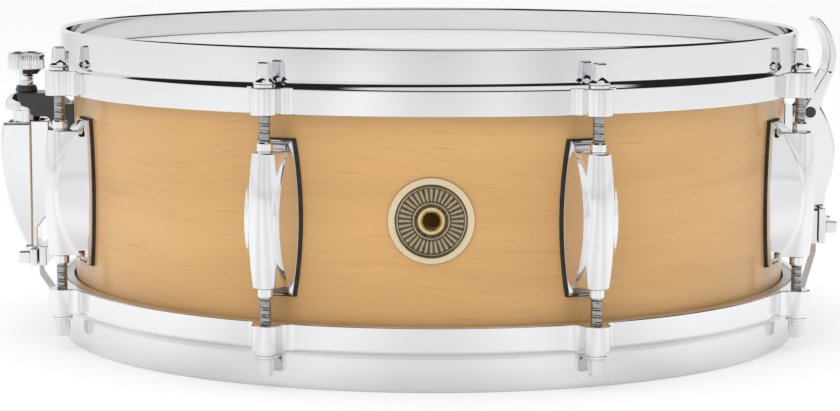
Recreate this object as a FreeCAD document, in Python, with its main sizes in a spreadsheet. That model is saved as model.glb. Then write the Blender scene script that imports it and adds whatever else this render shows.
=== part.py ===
import FreeCAD, Part
import math
import os
import re
import Sketcher
from FreeCAD import Placement, Rotation, Vector

# Snare drum, 14 inches across and 5 inches deep: a maple shell between two die-cast hoops,
# with eight double-ended lugs, a throw-off at +X and an adjustable butt end at -X.
# The origin is on the drum's axis, at the surface that the drum rests on.  +Z is up and -Y is
# the front, where the badge is.  Lengths are in millimetres and angles in degrees.

SIZES = [
    # shell
    ("shell_diameter", 355.6, "outside of the shell"),
    ("shell_depth", 127, "height of the shell"),
    ("shell_wall", 5.6, "thickness of the maple plies"),
    ("edge_inset", 1.6, "bearing edge, in from the outside"),
    ("edge_outer_drop", 1.4, "height of the outer round-over"),
    ("edge_slope", 30, "angle of the inner cut of the bearing edge"),
    ("snare_bed_width", 90, "width of the hollow under the snares"),
    ("snare_bed_depth", 0.8, "depth of that hollow"),
    # heads
    ("film_thickness", 0.3, "drum head film"),
    ("film_gap", 0.3, "film collar to shell"),
    ("film_collar", 12.4, "depth of the film's collar"),
    ("film_lip", 3.2, "width of the lip caught in the flesh hoop"),
    ("flesh_hoop_height", 9, "height of the flesh hoop"),
    ("flesh_hoop_wall", 1, "wall of the flesh hoop"),
    ("flesh_hoop_gap", 0.5, "flesh hoop to film collar"),
    ("flesh_hoop_width", 4.2, "radial width of the flesh hoop"),
    # hoops, measured from the shell's edge
    ("hoop_rim", 12.5, "height of the rim above the shell's edge"),
    ("hoop_collar_gap", 3.3, "shell to the inside of the collar"),
    ("hoop_collar_wall", 2.8, "thickness of the collar"),
    ("rim_round", 1.1, "radius on the rim's corners"),
    ("hoop_step_drop", 3.6, "collar down to the top of the skirt's slope"),
    ("skirt_top_drop", 5.8, "edge down to the skirt's outer corner"),
    ("ledge_drop", 7.9, "edge down to the ledge that bears on the flesh hoop"),
    ("skirt_bottom_drop", 17.1, "edge down to the skirt's free edge"),
    ("skirt_gap", 0.3, "flesh hoop to the skirt's inside"),
    ("skirt_wall", 3, "thickness of the skirt"),
    ("ear_top_drop", 5.1, "edge down to the ear's top"),
    ("ear_radius", 6.6, "nose of the ear"),
    ("ear_fillet", 5, "hollow fillet from ear to skirt"),
    ("gate_width", 50, "snare gate in the lower hoop"),
    ("gate_height", 11, "height of the gate above the rim"),
    ("gate_round", 3, "corners of the gate"),
    # tension rods
    ("lug_count", 8, "lugs around the shell"),
    ("rod_offset", 13.5, "shell to the centre of a tension rod"),
    ("rod_radius", 2.745, "thread's outside, 12-24"),
    ("rod_length", 50, "rod below its collar"),
    ("rod_point", 0.6, "chamfer on the rod's end"),
    ("rod_collar_radius", 4.95, "collar under the head"),
    ("rod_collar_height", 1.1, "thickness of that collar"),
    ("rod_head_width", 6.35, "square head across flats"),
    ("rod_head_height", 8.6, "height of the head"),
    ("rod_head_chamfer", 0.5, "chamfer on the head"),
    ("rod_hole_clearance", 0.45, "rod to the hole in the ear"),
    ("washer_radius", 4.75, "washer under the rod's collar"),
    ("washer_thickness", 1.7, "its thickness"),
    ("running_clearance", 0.05, "radial clearance of a running fit"),
    ("seat_gap", 0.3, "gap between pieces that move past each other"),
    # lugs
    ("lug_length", 60, "length of the lug's body"),
    ("lug_base_length", 69, "length of its foot"),
    ("lug_base_end_width", 16.2, "width of the foot at its ends"),
    ("lug_base_middle_width", 22.4, "width of the foot at its middle"),
    ("lug_base_thickness", 1.6, "thickness of the foot at its edge"),
    ("lug_spindle_end_radius", 6, "spindle at its ends"),
    ("lug_spindle_middle_radius", 7.8, "spindle at its middle"),
    ("lug_ridge_reach", 3.7, "wing's ridge at its middle, in front of the rod's axis"),
    ("lug_ridge_end", 6, "wing's ridge at its ends, behind that axis"),
    ("lug_ridge_width", 17, "distance between the two ridges"),
    ("lug_web_width", 7.4, "web from the foot to the spindle"),
    ("lug_bore_radius", 4.5, "chamber for the spring"),
    ("lug_mouth_radius", 3.7, "hole at each end of the lug"),
    ("lug_mouth_length", 4, "length of that hole"),
    ("lug_screw_spacing", 44, "between a lug's two screws"),
    ("gasket_thickness", 1.5, "gasket under a lug"),
    ("gasket_margin", 0.8, "gasket beyond the foot"),
    ("nut_collar_radius", 3.6, "swivel nut's collar, outside the lug"),
    ("nut_reach", 4.6, "collar beyond the lug's end"),
    ("nut_flange_radius", 4.3, "swivel nut's flange inside the lug"),
    ("nut_flange_height", 5, "height of that flange"),
    ("spring_wall", 0.9, "wire of the spring between the nuts"),
    ("screw_radius", 2, "mounting screws"),
    ("screw_head_radius", 3.9, "head of a mounting screw"),
    ("screw_head_height", 2.6, "height of that head"),
    ("screw_grip", 6, "screw's length in a lug or a base"),
    ("screw_washer_radius", 4.8, "washer inside the shell"),
    ("screw_washer_thickness", 1, "its thickness"),
    # vent and badge
    ("badge_radius", 19.2, "round badge"),
    ("badge_field", 0.6, "thickness of the badge's field"),
    ("badge_rim_width", 3, "width of its raised rim"),
    ("badge_rim_height", 1, "thickness at the rim"),
    ("vent_bore", 3.8, "radius of the vent"),
    ("vent_barrel", 4.7, "outside of the grommet's barrel"),
    ("vent_flange", 6, "radius of the grommet's flanges"),
    ("vent_flange_height", 1.1, "thickness of a flange"),
    # throw-off, at +X: reaches are out from the shell, heights are from its middle
    ("mount_half_width", 13, "half width of the throw-off's and the butt's base"),
    ("mount_gasket", 0.8, "gasket under those bases"),
    ("mount_plate", 4, "thickness of those bases"),
    ("mount_top", 37, "top of both bases"),
    ("mount_bottom", -20, "bottom of both bases"),
    ("mount_screw_high", 25, "upper mounting screw"),
    ("mount_screw_low", -9, "lower mounting screw"),
    ("housing_half_width", 10, "throw-off housing"),
    ("housing_wall", 2.4, "its wall"),
    ("housing_top", 39.5, "top of the housing"),
    ("housing_top_reach", 16.2, "reach at the top"),
    ("housing_bulge", 14, "height of the widest place"),
    ("housing_bulge_reach", 26.6, "reach at the widest place"),
    ("housing_bottom", -14, "bottom of the housing"),
    ("housing_bottom_reach", 22, "reach at the bottom"),
    ("housing_upper_arc", 46.7, "radius of the upper front"),
    ("housing_waist", -2, "height where the front turns hollow"),
    ("housing_waist_reach", 24.2, "reach there"),
    ("housing_lower_arc", 54.5, "radius of the front below the widest place"),
    ("housing_hollow_arc", 34, "radius of the hollow below the waist"),
    ("housing_slot_drop", 13, "bottom of the housing's front slot, below the pivot"),
    ("pivot_height", 33.9, "lever's pivot"),
    ("pivot_reach", 13, "lever's pivot"),
    ("lever_shaft_radius", 2, "lever's shaft"),
    ("crank_radius", 4.5, "crank pin from the pivot"),
    ("crank_angle", 40, "crank pin above level when the snares are on"),
    ("crank_pin_radius", 1.2, "crank pin"),
    ("crank_play", 0.6, "crank pin in its slot"),
    ("crank_slot_wall", 1.2, "wall in front of the slot"),
    ("crank_web", 2.2, "thickness of a crank web"),
    ("lever_arm", 2.4, "thickness of the lever's arms"),
    ("lever_eye", 4.4, "radius of the arm's eye"),
    ("lever_rise", 47.2, "tip of the lever above its pivot"),
    ("lever_bow", 12.7, "lever's farthest reach beyond its pivot"),
    ("lever_bow_rise", 29, "height of that place above the pivot"),
    ("lever_plate", 3.6, "thickness of the lever"),
    ("lever_lower_arc", 40, "radius of the lever's lower bend"),
    ("lever_upper_arc", 30, "radius of the lever's upper bend"),
    ("lever_tip", 1.6, "thickness of the tip"),
    ("lever_web_rise", 20, "where the two arms join"),
    ("lever_foot_reach", 7.4, "inner face of the lever where the arms join"),
    ("slide_tongue_half_width", 4, "slide's tongue between the cranks"),
    ("slide_foot_height", 6, "foot that carries the tongue"),
    ("clamp_half_width", 15, "strap clamps"),
    ("clamp_face_reach", 17.4, "throw-off's clamping face"),
    ("clamp_plate_thickness", 3.8, "clamp plate"),
    ("clamp_top", -15.6, "throw-off clamp's top"),
    ("clamp_height", 16.6, "height of the throw-off's clamp"),
    ("clamp_screw_spacing", 22, "between a clamp's two screws"),
    ("clamp_round", 1.2, "corners of a clamp plate"),
    ("clamp_screw_radius", 2, "clamp screw"),
    ("clamp_screw_grip", 5, "its length in the slide"),
    ("clamp_head_width", 6.35, "square head of a clamp screw"),
    ("clamp_head_height", 6, "its height"),
    ("strap_gap", 0.7, "slot that holds the strap"),
    # butt end, at -X
    ("knob_reach", 25.2, "axis of the tension knob"),
    ("knob_radius", 9.15, "knob"),
    ("knob_top", 62, "top of the knob"),
    ("knob_knurl", 8, "height of its knurled band"),
    ("knob_taper", 2.7, "height of its lower taper"),
    ("knob_neck_radius", 3.6, "neck under the knob"),
    ("knob_collar_radius", 5.45, "collar on the cap"),
    ("knob_collar_top", 45.6, "top of the collar"),
    ("knob_stem_radius", 2.4, "threaded stem"),
    ("knob_stem_end", -12, "lower end of the stem"),
    ("cap_top", 42.3, "top of the chrome cap"),
    ("cap_shoulder", 34.4, "height of the cap's widest place"),
    ("cap_radius", 10.8, "its widest radius"),
    ("cap_crown_radius", 6.5, "radius at its top"),
    ("cap_sleeve_radius", 6.8, "sleeve below the cap"),
    ("cap_sleeve_end", 22, "end of that sleeve"),
    ("butt_arm_half_width", 8, "arm from the base to the cap"),
    ("butt_slide_top", 27.3, "top of the moving cover"),
    ("butt_slide_half_width", 10.5, "half width of the cover"),
    ("butt_slide_inner_reach", 13.2, "inner face of the slide"),
    ("butt_slide_bulge", 12, "height of its widest place"),
    ("butt_slide_bulge_reach", 37.2, "reach at the widest place"),
    ("butt_slide_bottom", -35.4, "bottom of the cover"),
    ("butt_slide_bottom_reach", 24.9, "reach at the bottom"),
    ("butt_slide_upper_arc", 90, "radius of the upper front"),
    ("butt_slide_lower_arc", 105, "radius of the lower front"),
    ("butt_guide_half_width", 5, "guide on the base"),
    ("butt_clamp_face_reach", 18.4, "butt's clamping face"),
    ("butt_clamp_top", -35.9, "top of the butt's clamp"),
    ("butt_clamp_height", 8.6, "height of the butt's clamp"),
    # snare wires
    ("wire_count", 20, "strands"),
    ("wire_spacing", 2.2, "between strands"),
    ("wire_radius", 0.8, "coil of a strand"),
    ("wire_length", 316, "length of a strand"),
    ("wire_drop", 0.3, "strands below the head"),
    ("end_plate_length", 14, "end plate along the strands"),
    ("end_plate_thickness", 1.2, "end plate"),
    ("end_plate_margin", 1.6, "end plate beyond the outer strands"),
    ("strap_width", 16, "snare strap"),
    ("strap_thickness", 0.5, "snare strap"),
    ("strap_low", 7.4, "strap's height in the gate"),
    ("strap_clear", 1.4, "strap to the outside of the hoop"),
    ("strap_bend", 3, "radius of the strap's bends"),
    ("strap_run", 5.2, "straight strap below a clamp"),
    ("strap_end_inset", 2.4, "strap's end below the top of its clamp"),
]

doc = FreeCAD.newDocument("snare_drum")
sheet = doc.addObject("Spreadsheet::Sheet", "Sizes")
for row, (alias, number, meaning) in enumerate(SIZES, 1):
    sheet.set(f"A{row}", meaning)
    sheet.set(f"B{row}", str(number))
    sheet.setAlias(f"B{row}", alias)
doc.recompute()

ALIASES = {alias for alias, _, _ in SIZES}
parts = {}


# ---- formulas over the sheet ------------------------------------------------------------

def in_sheet(formula):
    """The formula with each size named as a cell of the sheet."""
    return re.sub(r"[a-z][a-z_]*", lambda word: "Sizes." + word[0] if word[0] in ALIASES else word[0],
                  str(formula))


def value(formula):
    """The formula's present value."""
    return float(sheet.evalExpression(in_sheet(formula)))


def bind(item, target, formula):
    """Ties a property to the sheet."""
    item.setExpression(target, in_sheet(formula))


SHELL = "shell_diameter / 2"
INSIDE = f"({SHELL} - shell_wall)"
BOTTOM = "hoop_rim"
MIDDLE = "(hoop_rim + shell_depth / 2)"
TOP = "(hoop_rim + shell_depth)"
ROD_CIRCLE = f"({SHELL} + rod_offset)"
FILM_INNER = f"({SHELL} + film_gap)"
COLLAR_INNER = f"({SHELL} + hoop_collar_gap)"
COLLAR_OUTER = f"({COLLAR_INNER} + hoop_collar_wall)"
FLESH_INNER = f"({FILM_INNER} + film_thickness + flesh_hoop_gap)"
FLESH_OUTER = f"({FLESH_INNER} + flesh_hoop_width)"
SKIRT_INNER = f"({FLESH_OUTER} + skirt_gap)"
SKIRT_OUTER = f"({SKIRT_INNER} + skirt_wall)"
WASHER_SEAT = "(0 - ear_top_drop)"
ROD_SEAT = f"({WASHER_SEAT} + washer_thickness)"
LUG_BACK = "(gasket_thickness - rod_offset)"
ROD_HOLE = "(rod_radius + rod_hole_clearance)"


# ---- sketches and features --------------------------------------------------------------

def new_body(name):
    body = doc.addObject("PartDesign::Body", name)
    body.Label = name
    parts[name] = body
    return body


def copy_of(original, name):
    """A second body with the same shape as the first, to be placed by itself."""
    body = new_body(name)
    base = doc.addObject("PartDesign::FeatureBase", name + "_base")
    base.BaseFeature = original
    base.Placement = Placement()
    body.Group = [base]
    body.Tip = base
    return body


def datum(body, role):
    """One of the body's own origin planes or axes."""
    return next(item for item in body.Origin.OriginFeatures if item.Role == role)


def new_sketch(body, role, height="0", turn=0):
    """A sketch on an origin plane, moved along its normal and turned about its own Y axis."""
    sketch = body.newObject("Sketcher::SketchObject", body.Name + "_sketch")
    sketch.AttachmentSupport = [(datum(body, role), "")]
    sketch.MapMode = "FlatFace"
    sketch.AttachmentOffset = Placement(Vector(), Rotation(Vector(0, 1, 0), turn))
    bind(sketch, "AttachmentOffset.Base.z", height)
    return sketch


def fix(sketch, kind, element, point, formula):
    """A distance from the sketch's origin, tied to the sheet."""
    place = sketch.addConstraint(Sketcher.Constraint(kind, -1, 1, element, point, value(formula)))
    bind(sketch, f"Constraints[{place}]", formula)


def loop(sketch, corners):
    """A closed outline, counterclockwise.  Each corner is (x, y), or (x, y, radius, side) where the
    edge that leaves it is an arc: side 1 bulges outwards and side -1 is hollow."""
    first = sketch.GeometryCount
    spots = [Vector(value(corner[0]), value(corner[1]), 0) for corner in corners]
    starts = []
    for index, corner in enumerate(corners):
        begin = spots[index]
        end = spots[(index + 1) % len(corners)]
        if len(corner) == 2:
            sketch.addGeometry(Part.LineSegment(begin, end), False)
            starts.append(1)
            continue
        radius = value(corner[2])
        side = corner[3]
        chord = end - begin
        left = Vector(-chord.y, chord.x, 0).normalize()
        centre = (begin + end) / 2 + left * side * math.sqrt(max(radius ** 2 - chord.Length ** 2 / 4, 0))
        low, high = (begin, end) if side > 0 else (end, begin)
        low_angle = math.atan2(low.y - centre.y, low.x - centre.x)
        high_angle = math.atan2(high.y - centre.y, high.x - centre.x)
        if high_angle < low_angle:
            high_angle += 2 * math.pi
        circle = Part.Circle(centre, Vector(0, 0, 1), radius)
        sketch.addGeometry(Part.ArcOfCircle(circle, low_angle, high_angle), False)
        starts.append(1 if side > 0 else 2)
    for index in range(len(corners)):
        following = (index + 1) % len(corners)
        sketch.addConstraint(Sketcher.Constraint("Coincident", first + index, 3 - starts[index],
                                                 first + following, starts[following]))
    for index, corner in enumerate(corners):
        fix(sketch, "DistanceX", first + index, starts[index], corner[0])
        fix(sketch, "DistanceY", first + index, starts[index], corner[1])
        if len(corner) == 4:
            place = sketch.addConstraint(Sketcher.Constraint("Radius", first + index, value(corner[2])))
            bind(sketch, f"Constraints[{place}]", corner[2])


def ring(sketch, radius, across="0", up="0"):
    """A circle whose radius and centre are tied to the sheet."""
    index = sketch.GeometryCount
    centre = Vector(value(across), value(up), 0)
    sketch.addGeometry(Part.Circle(centre, Vector(0, 0, 1), value(radius)), False)
    place = sketch.addConstraint(Sketcher.Constraint("Radius", index, value(radius)))
    bind(sketch, f"Constraints[{place}]", radius)
    fix(sketch, "DistanceX", index, 3, across)
    fix(sketch, "DistanceY", index, 3, up)


def box_loop(sketch, low_x, low_y, high_x, high_y):
    loop(sketch, [(low_x, low_y), (high_x, low_y), (high_x, high_y), (low_x, high_y)])


def turned(body, corners):
    """Adds the outline in the XZ plane, turned about the body's Z axis."""
    sketch = new_sketch(body, "XZ_Plane")
    loop(sketch, corners)
    feature = body.newObject("PartDesign::Revolution", body.Name + "_turned")
    feature.Profile = sketch
    feature.ReferenceAxis = (sketch, ["V_Axis"])
    feature.Angle = 360
    return feature


def pad(body, sketch, length, both=False, backwards=False):
    feature = body.newObject("PartDesign::Pad", body.Name + "_pad")
    feature.Profile = sketch
    bind(feature, "Length", length)
    feature.Midplane = both
    feature.Reversed = backwards
    return feature


def pocket(body, sketch, length, both=False, backwards=False):
    """Cuts the sketch's outline, and stops if it took nothing away."""
    doc.recompute()
    before = body.Shape.Volume
    feature = body.newObject("PartDesign::Pocket", body.Name + "_pocket")
    feature.Profile = sketch
    bind(feature, "Length", length)
    feature.Midplane = both
    feature.Reversed = backwards
    doc.recompute()
    if body.Shape.Volume > before - 1e-6:
        raise RuntimeError(f"{body.Label}: a pocket cuts nothing")
    return feature


def around(body, features, count):
    """Repeats features around the body's Z axis."""
    doc.recompute()
    pattern = body.newObject("PartDesign::PolarPattern", body.Name + "_pattern")
    pattern.Originals = features
    pattern.Axis = (datum(body, "Z_Axis"), [""])
    pattern.Angle = 360
    pattern.Occurrences = int(count)
    body.Tip = pattern
    return pattern


def rounded(body, radius, chosen):
    """Fillets the edges that the test chooses."""
    doc.recompute()
    tip = body.Tip
    names = [f"Edge{place}" for place, edge in enumerate(tip.Shape.Edges, 1) if chosen(edge)]
    if not names:
        raise RuntimeError(f"{body.Label}: no edge to round")
    fillet = body.newObject("PartDesign::Fillet", body.Name + "_fillet")
    fillet.Base = (tip, names)
    bind(fillet, "Radius", radius)
    return fillet


def place(body, angle=0, reach="0", height="0", upside_down=False):
    """Stands a body at an angle around the drum, a reach from its axis and a height."""
    spin = Rotation(Vector(0, 0, 1), angle)
    if upside_down:
        spin = spin.multiply(Rotation(Vector(1, 0, 0), 180))
    body.Placement = Placement(Vector(), spin)
    bind(body, "Placement.Base.x", f"({reach}) * cos({angle})")
    bind(body, "Placement.Base.y", f"({reach}) * sin({angle})")
    bind(body, "Placement.Base.z", height)


LUGS = int(value("lug_count"))
LUG_STEP = 360 / LUGS
LUG_ANGLES = [LUG_STEP * (number + 0.5) for number in range(LUGS)]


# ---- shell, vent and badge --------------------------------------------------------------

def make_shell():
    """The ply shell: bearing edges, snare bed, vent hole and screw holes."""
    body = new_body("shell")
    peak = f"({SHELL} - edge_inset)"
    inner_drop = "((shell_wall - edge_inset) * tan(edge_slope))"
    turned(body, [
        (INSIDE, f"{BOTTOM} + {inner_drop}"), (peak, BOTTOM), (SHELL, f"{BOTTOM} + edge_outer_drop"),
        (SHELL, f"{TOP} - edge_outer_drop"), (peak, TOP), (INSIDE, f"{TOP} - {inner_drop}")])
    bed = new_sketch(body, "YZ_Plane")
    bed_arc = "((snare_bed_width / 2)^2 + snare_bed_depth^2) / (2 * snare_bed_depth)"
    loop(bed, [("-snare_bed_width / 2", f"{BOTTOM} - 1"), ("snare_bed_width / 2", f"{BOTTOM} - 1"),
               ("snare_bed_width / 2", BOTTOM, bed_arc, 1), ("-snare_bed_width / 2", BOTTOM)])
    pocket(body, bed, "shell_diameter + 10", both=True)
    vent = new_sketch(body, "XZ_Plane")
    ring(vent, "vent_barrel + running_clearance", up=MIDDLE)
    pocket(body, vent, SHELL, backwards=True)
    holes = new_sketch(body, "YZ_Plane", turn=LUG_ANGLES[0])
    ring(holes, "screw_radius + running_clearance", up=f"{MIDDLE} + lug_screw_spacing / 2")
    ring(holes, "screw_radius + running_clearance", up=f"{MIDDLE} - lug_screw_spacing / 2")
    around(body, [pocket(body, holes, f"{SHELL} + 1", backwards=True)], LUGS)
    mounting = new_sketch(body, "YZ_Plane")
    ring(mounting, "screw_radius + running_clearance", up=f"{MIDDLE} + mount_screw_high")
    ring(mounting, "screw_radius + running_clearance", up=f"{MIDDLE} + mount_screw_low")
    pocket(body, mounting, "shell_diameter + 10", both=True)
    place(body)


def make_badge():
    """A round badge bent to the shell, with a raised rim and the vent's hole through it."""
    def upright(radius, height, name):
        drum = doc.addObject("Part::Cylinder", name)
        bind(drum, "Radius", radius)
        bind(drum, "Height", height)
        return drum

    def through(radius, name):
        disc = upright(radius, f"{SHELL} + 5", name)
        disc.Placement = Placement(Vector(), Rotation(Vector(1, 0, 0), 90))
        bind(disc, "Placement.Base.z", MIDDLE)
        return disc

    def boolean(kind, name, first, second):
        result = doc.addObject(kind, name)
        result.Base = first
        result.Tool = second
        return result

    core = upright(SHELL, TOP, "badge_core")
    field_skin = upright(f"{SHELL} + badge_field", TOP, "badge_field_skin")
    rim_skin = upright(f"{SHELL} + badge_rim_height", TOP, "badge_rim_skin")
    field = boolean("Part::Common", "badge_field_disc", through("badge_radius", "badge_disc"), field_skin)
    rim_ring = boolean("Part::Cut", "badge_rim_ring", through("badge_radius", "badge_rim_disc"),
                       through("badge_radius - badge_rim_width", "badge_rim_inside"))
    rim = boolean("Part::Common", "badge_rim", rim_ring, rim_skin)
    solid = boolean("Part::Fuse", "badge_solid", field, rim)
    bent = boolean("Part::Cut", "badge_bent", solid, core)
    badge = boolean("Part::Cut", "badge", bent, through("vent_barrel + running_clearance", "badge_hole"))
    badge.Label = "badge"
    parts["badge"] = badge


def make_grommet():
    """The vent's grommet: a barrel through the shell with a flange at each end."""
    body = new_body("vent_grommet")
    seat = f"({SHELL} + badge_field)"
    inner = f"sqrt({INSIDE}^2 - vent_flange^2)"
    inner_end = f"{inner} - vent_flange_height"
    turned(body, [("vent_bore", inner_end), ("vent_flange", inner_end),
                  ("vent_flange", inner), ("vent_barrel", inner), ("vent_barrel", seat),
                  ("vent_flange", seat), ("vent_flange", f"{seat} + vent_flange_height * 0.4"),
                  ("vent_barrel", f"{seat} + vent_flange_height"),
                  ("vent_bore", f"{seat} + vent_flange_height")])
    body.Placement = Placement(Vector(), Rotation(Vector(1, 0, 0), 90))
    bind(body, "Placement.Base.z", MIDDLE)


# ---- heads and hoops: drawn for the upper end, from the shell's edge up ---------------------

def at_end(body, upper, angle=0):
    """Stands a body on the shell's upper edge, or under its lower edge."""
    place(body, angle, height=TOP if upper else BOTTOM, upside_down=not upper)


def make_head(name, upper):
    """The film: a flat disc, a collar down the shell's side, and a lip in the flesh hoop."""
    body = new_body(name)
    lip = f"{FILM_INNER} + film_thickness + film_lip"
    outer = f"{FILM_INNER} + film_thickness"
    turned(body, [("0", "0"), (FILM_INNER, "0"), (FILM_INNER, "-film_collar"), (lip, "-film_collar"),
                  (lip, "film_thickness - film_collar"), (outer, "film_thickness - film_collar"),
                  (outer, "film_thickness"), ("0", "film_thickness")])
    at_end(body, upper)


def make_flesh_hoop(name, upper):
    """The head's metal ring: a channel that opens towards the shell."""
    body = new_body(name)
    high = "(0 - ledge_drop)"
    low = f"({high} - flesh_hoop_height)"
    web = f"({FLESH_OUTER} - flesh_hoop_wall)"
    turned(body, [(FLESH_INNER, low), (FLESH_OUTER, low), (FLESH_OUTER, high), (FLESH_INNER, high),
                  (FLESH_INNER, f"{high} - flesh_hoop_wall"), (web, f"{high} - flesh_hoop_wall"),
                  (web, f"{low} + flesh_hoop_wall"), (FLESH_INNER, f"{low} + flesh_hoop_wall")])
    at_end(body, upper)


def make_hoop(name):
    """A die-cast hoop: collar, ledge, skirt and drilled ears."""
    body = new_body(name)
    ears = new_sketch(body, "XY_Plane", "0 - skirt_bottom_drop")
    hollow = f"({SKIRT_OUTER} + ear_fillet)"
    swing = "(ear_radius + ear_fillet)"
    fillet_x = f"(({hollow}^2 - {swing}^2 + {ROD_CIRCLE}^2) / (2 * {ROD_CIRCLE}))"
    fillet_y = f"sqrt({hollow}^2 - {fillet_x}^2)"
    skirt_x = f"({fillet_x} * {SKIRT_OUTER} / {hollow})"
    skirt_y = f"({fillet_y} * {SKIRT_OUTER} / {hollow})"
    nose_x = f"({ROD_CIRCLE} + ({fillet_x} - {ROD_CIRCLE}) * ear_radius / {swing})"
    nose_y = f"({fillet_y} * ear_radius / {swing})"
    root_x = f"({skirt_x} - skirt_wall / 2)"
    loop(ears, [(root_x, f"-{skirt_y}"), (skirt_x, f"-{skirt_y}", "ear_fillet", -1),
                (nose_x, f"-{nose_y}", "ear_radius", 1), (f"{ROD_CIRCLE} + ear_radius", "0", "ear_radius", 1),
                (nose_x, nose_y, "ear_fillet", -1), (skirt_x, skirt_y), (root_x, skirt_y)])
    profile = [(COLLAR_INNER, "0 - ledge_drop"), (SKIRT_INNER, "0 - ledge_drop"),
               (SKIRT_INNER, "0 - skirt_bottom_drop"), (SKIRT_OUTER, "0 - skirt_bottom_drop"),
               (SKIRT_OUTER, "0 - skirt_top_drop"), (COLLAR_OUTER, "0 - hoop_step_drop"),
               (COLLAR_OUTER, "hoop_rim - rim_round", "rim_round", 1),
               (f"{COLLAR_OUTER} - rim_round", "hoop_rim"),
               (f"{COLLAR_INNER} + rim_round", "hoop_rim", "rim_round", 1),
               (COLLAR_INNER, "hoop_rim - rim_round")]
    turned(body, profile)
    nose = pad(body, ears, "skirt_bottom_drop - ear_top_drop")
    around(body, [nose], LUGS)
    holes = new_sketch(body, "XY_Plane", "0 - skirt_bottom_drop")
    for angle in LUG_ANGLES:
        turn = angle - LUG_ANGLES[0]
        ring(holes, ROD_HOLE, f"{ROD_CIRCLE} * cos({turn})", f"{ROD_CIRCLE} * sin({turn})")
    pocket(body, holes, "skirt_bottom_drop", backwards=True)
    at_end(body, True, LUG_ANGLES[0])
    return body


def make_gated_hoop(name, plain_hoop):
    """The snare-side hoop: the same casting, with a gate cut through its collar at each strap."""
    body = copy_of(plain_hoop, name)
    doc.recompute()
    gates = new_sketch(body, "YZ_Plane", turn=LUG_ANGLES[0])
    half = "(gate_width / 2)"
    sill = "(hoop_rim - gate_height)"
    loop(gates, [(half, "hoop_rim + 1"), (f"-{half}", "hoop_rim + 1"),
                 (f"-{half}", f"{sill} + gate_round", "gate_round", 1), (f"gate_round - {half}", sill),
                 (f"{half} - gate_round", sill, "gate_round", 1), (half, f"{sill} + gate_round")])
    pocket(body, gates, f"2 * {COLLAR_OUTER} + 1", both=True)
    at_end(body, False, LUG_ANGLES[0])


def make_washers(name, upper):
    """Flat washers on the ears, under the collars of the rods."""
    body = new_body(name)
    sketch = new_sketch(body, "XY_Plane", WASHER_SEAT)
    ring(sketch, "washer_radius", ROD_CIRCLE)
    ring(sketch, "rod_radius + running_clearance * 4", ROD_CIRCLE)
    around(body, [pad(body, sketch, "washer_thickness")], LUGS)
    at_end(body, upper, LUG_ANGLES[0])


def make_rod(name):
    """A tension rod: threaded shank, collar and square head.  Its collar's underside is at zero."""
    body = new_body(name)
    turned(body, [("0", "-rod_length"), ("rod_radius - rod_point", "-rod_length"),
                  ("rod_radius", "rod_point - rod_length"), ("rod_radius", "0"), ("rod_collar_radius", "0"),
                  ("rod_collar_radius", "rod_collar_height"), ("0", "rod_collar_height")])
    head = new_sketch(body, "XY_Plane", "rod_collar_height")
    half = "rod_head_width / 2"
    box_loop(head, f"-{half}", f"-{half}", half, half)
    pad(body, head, "rod_head_height")
    top = value("rod_collar_height + rod_head_height")
    doc.recompute()
    tip = body.Tip
    edges = [f"Edge{number}" for number, edge in enumerate(tip.Shape.Edges, 1)
             if abs(edge.BoundBox.ZMin - top) < 1e-6]
    chamfer = body.newObject("PartDesign::Chamfer", name + "_chamfer")
    chamfer.Base = (tip, edges)
    bind(chamfer, "Size", "rod_head_chamfer")
    return body


def place_rod(body, upper, angle):
    """Stands a rod on its washer, with its head away from the drum's middle."""
    seat = f"{TOP} + {ROD_SEAT}" if upper else f"{BOTTOM} - {ROD_SEAT}"
    place(body, angle, ROD_CIRCLE, seat, upside_down=not upper)


# ---- lugs: drawn about the rod's axis, with +X pointing away from the shell ------------------

def foot_outline(sketch, margin):
    """The lug's foot, seen from the front: straight ends and bowed sides."""
    end_y = f"(lug_base_end_width / 2 + {margin})"
    end_z = f"(lug_base_length / 2 + {margin})"
    bow = "((lug_base_middle_width - lug_base_end_width) / 2)"
    arc = f"({end_z}^2 + {bow}^2) / (2 * {bow})"
    loop(sketch, [(f"-{end_y}", f"-{end_z}"), (end_y, f"-{end_z}", arc, 1), (end_y, end_z),
                  (f"-{end_y}", end_z, arc, 1)])


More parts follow.
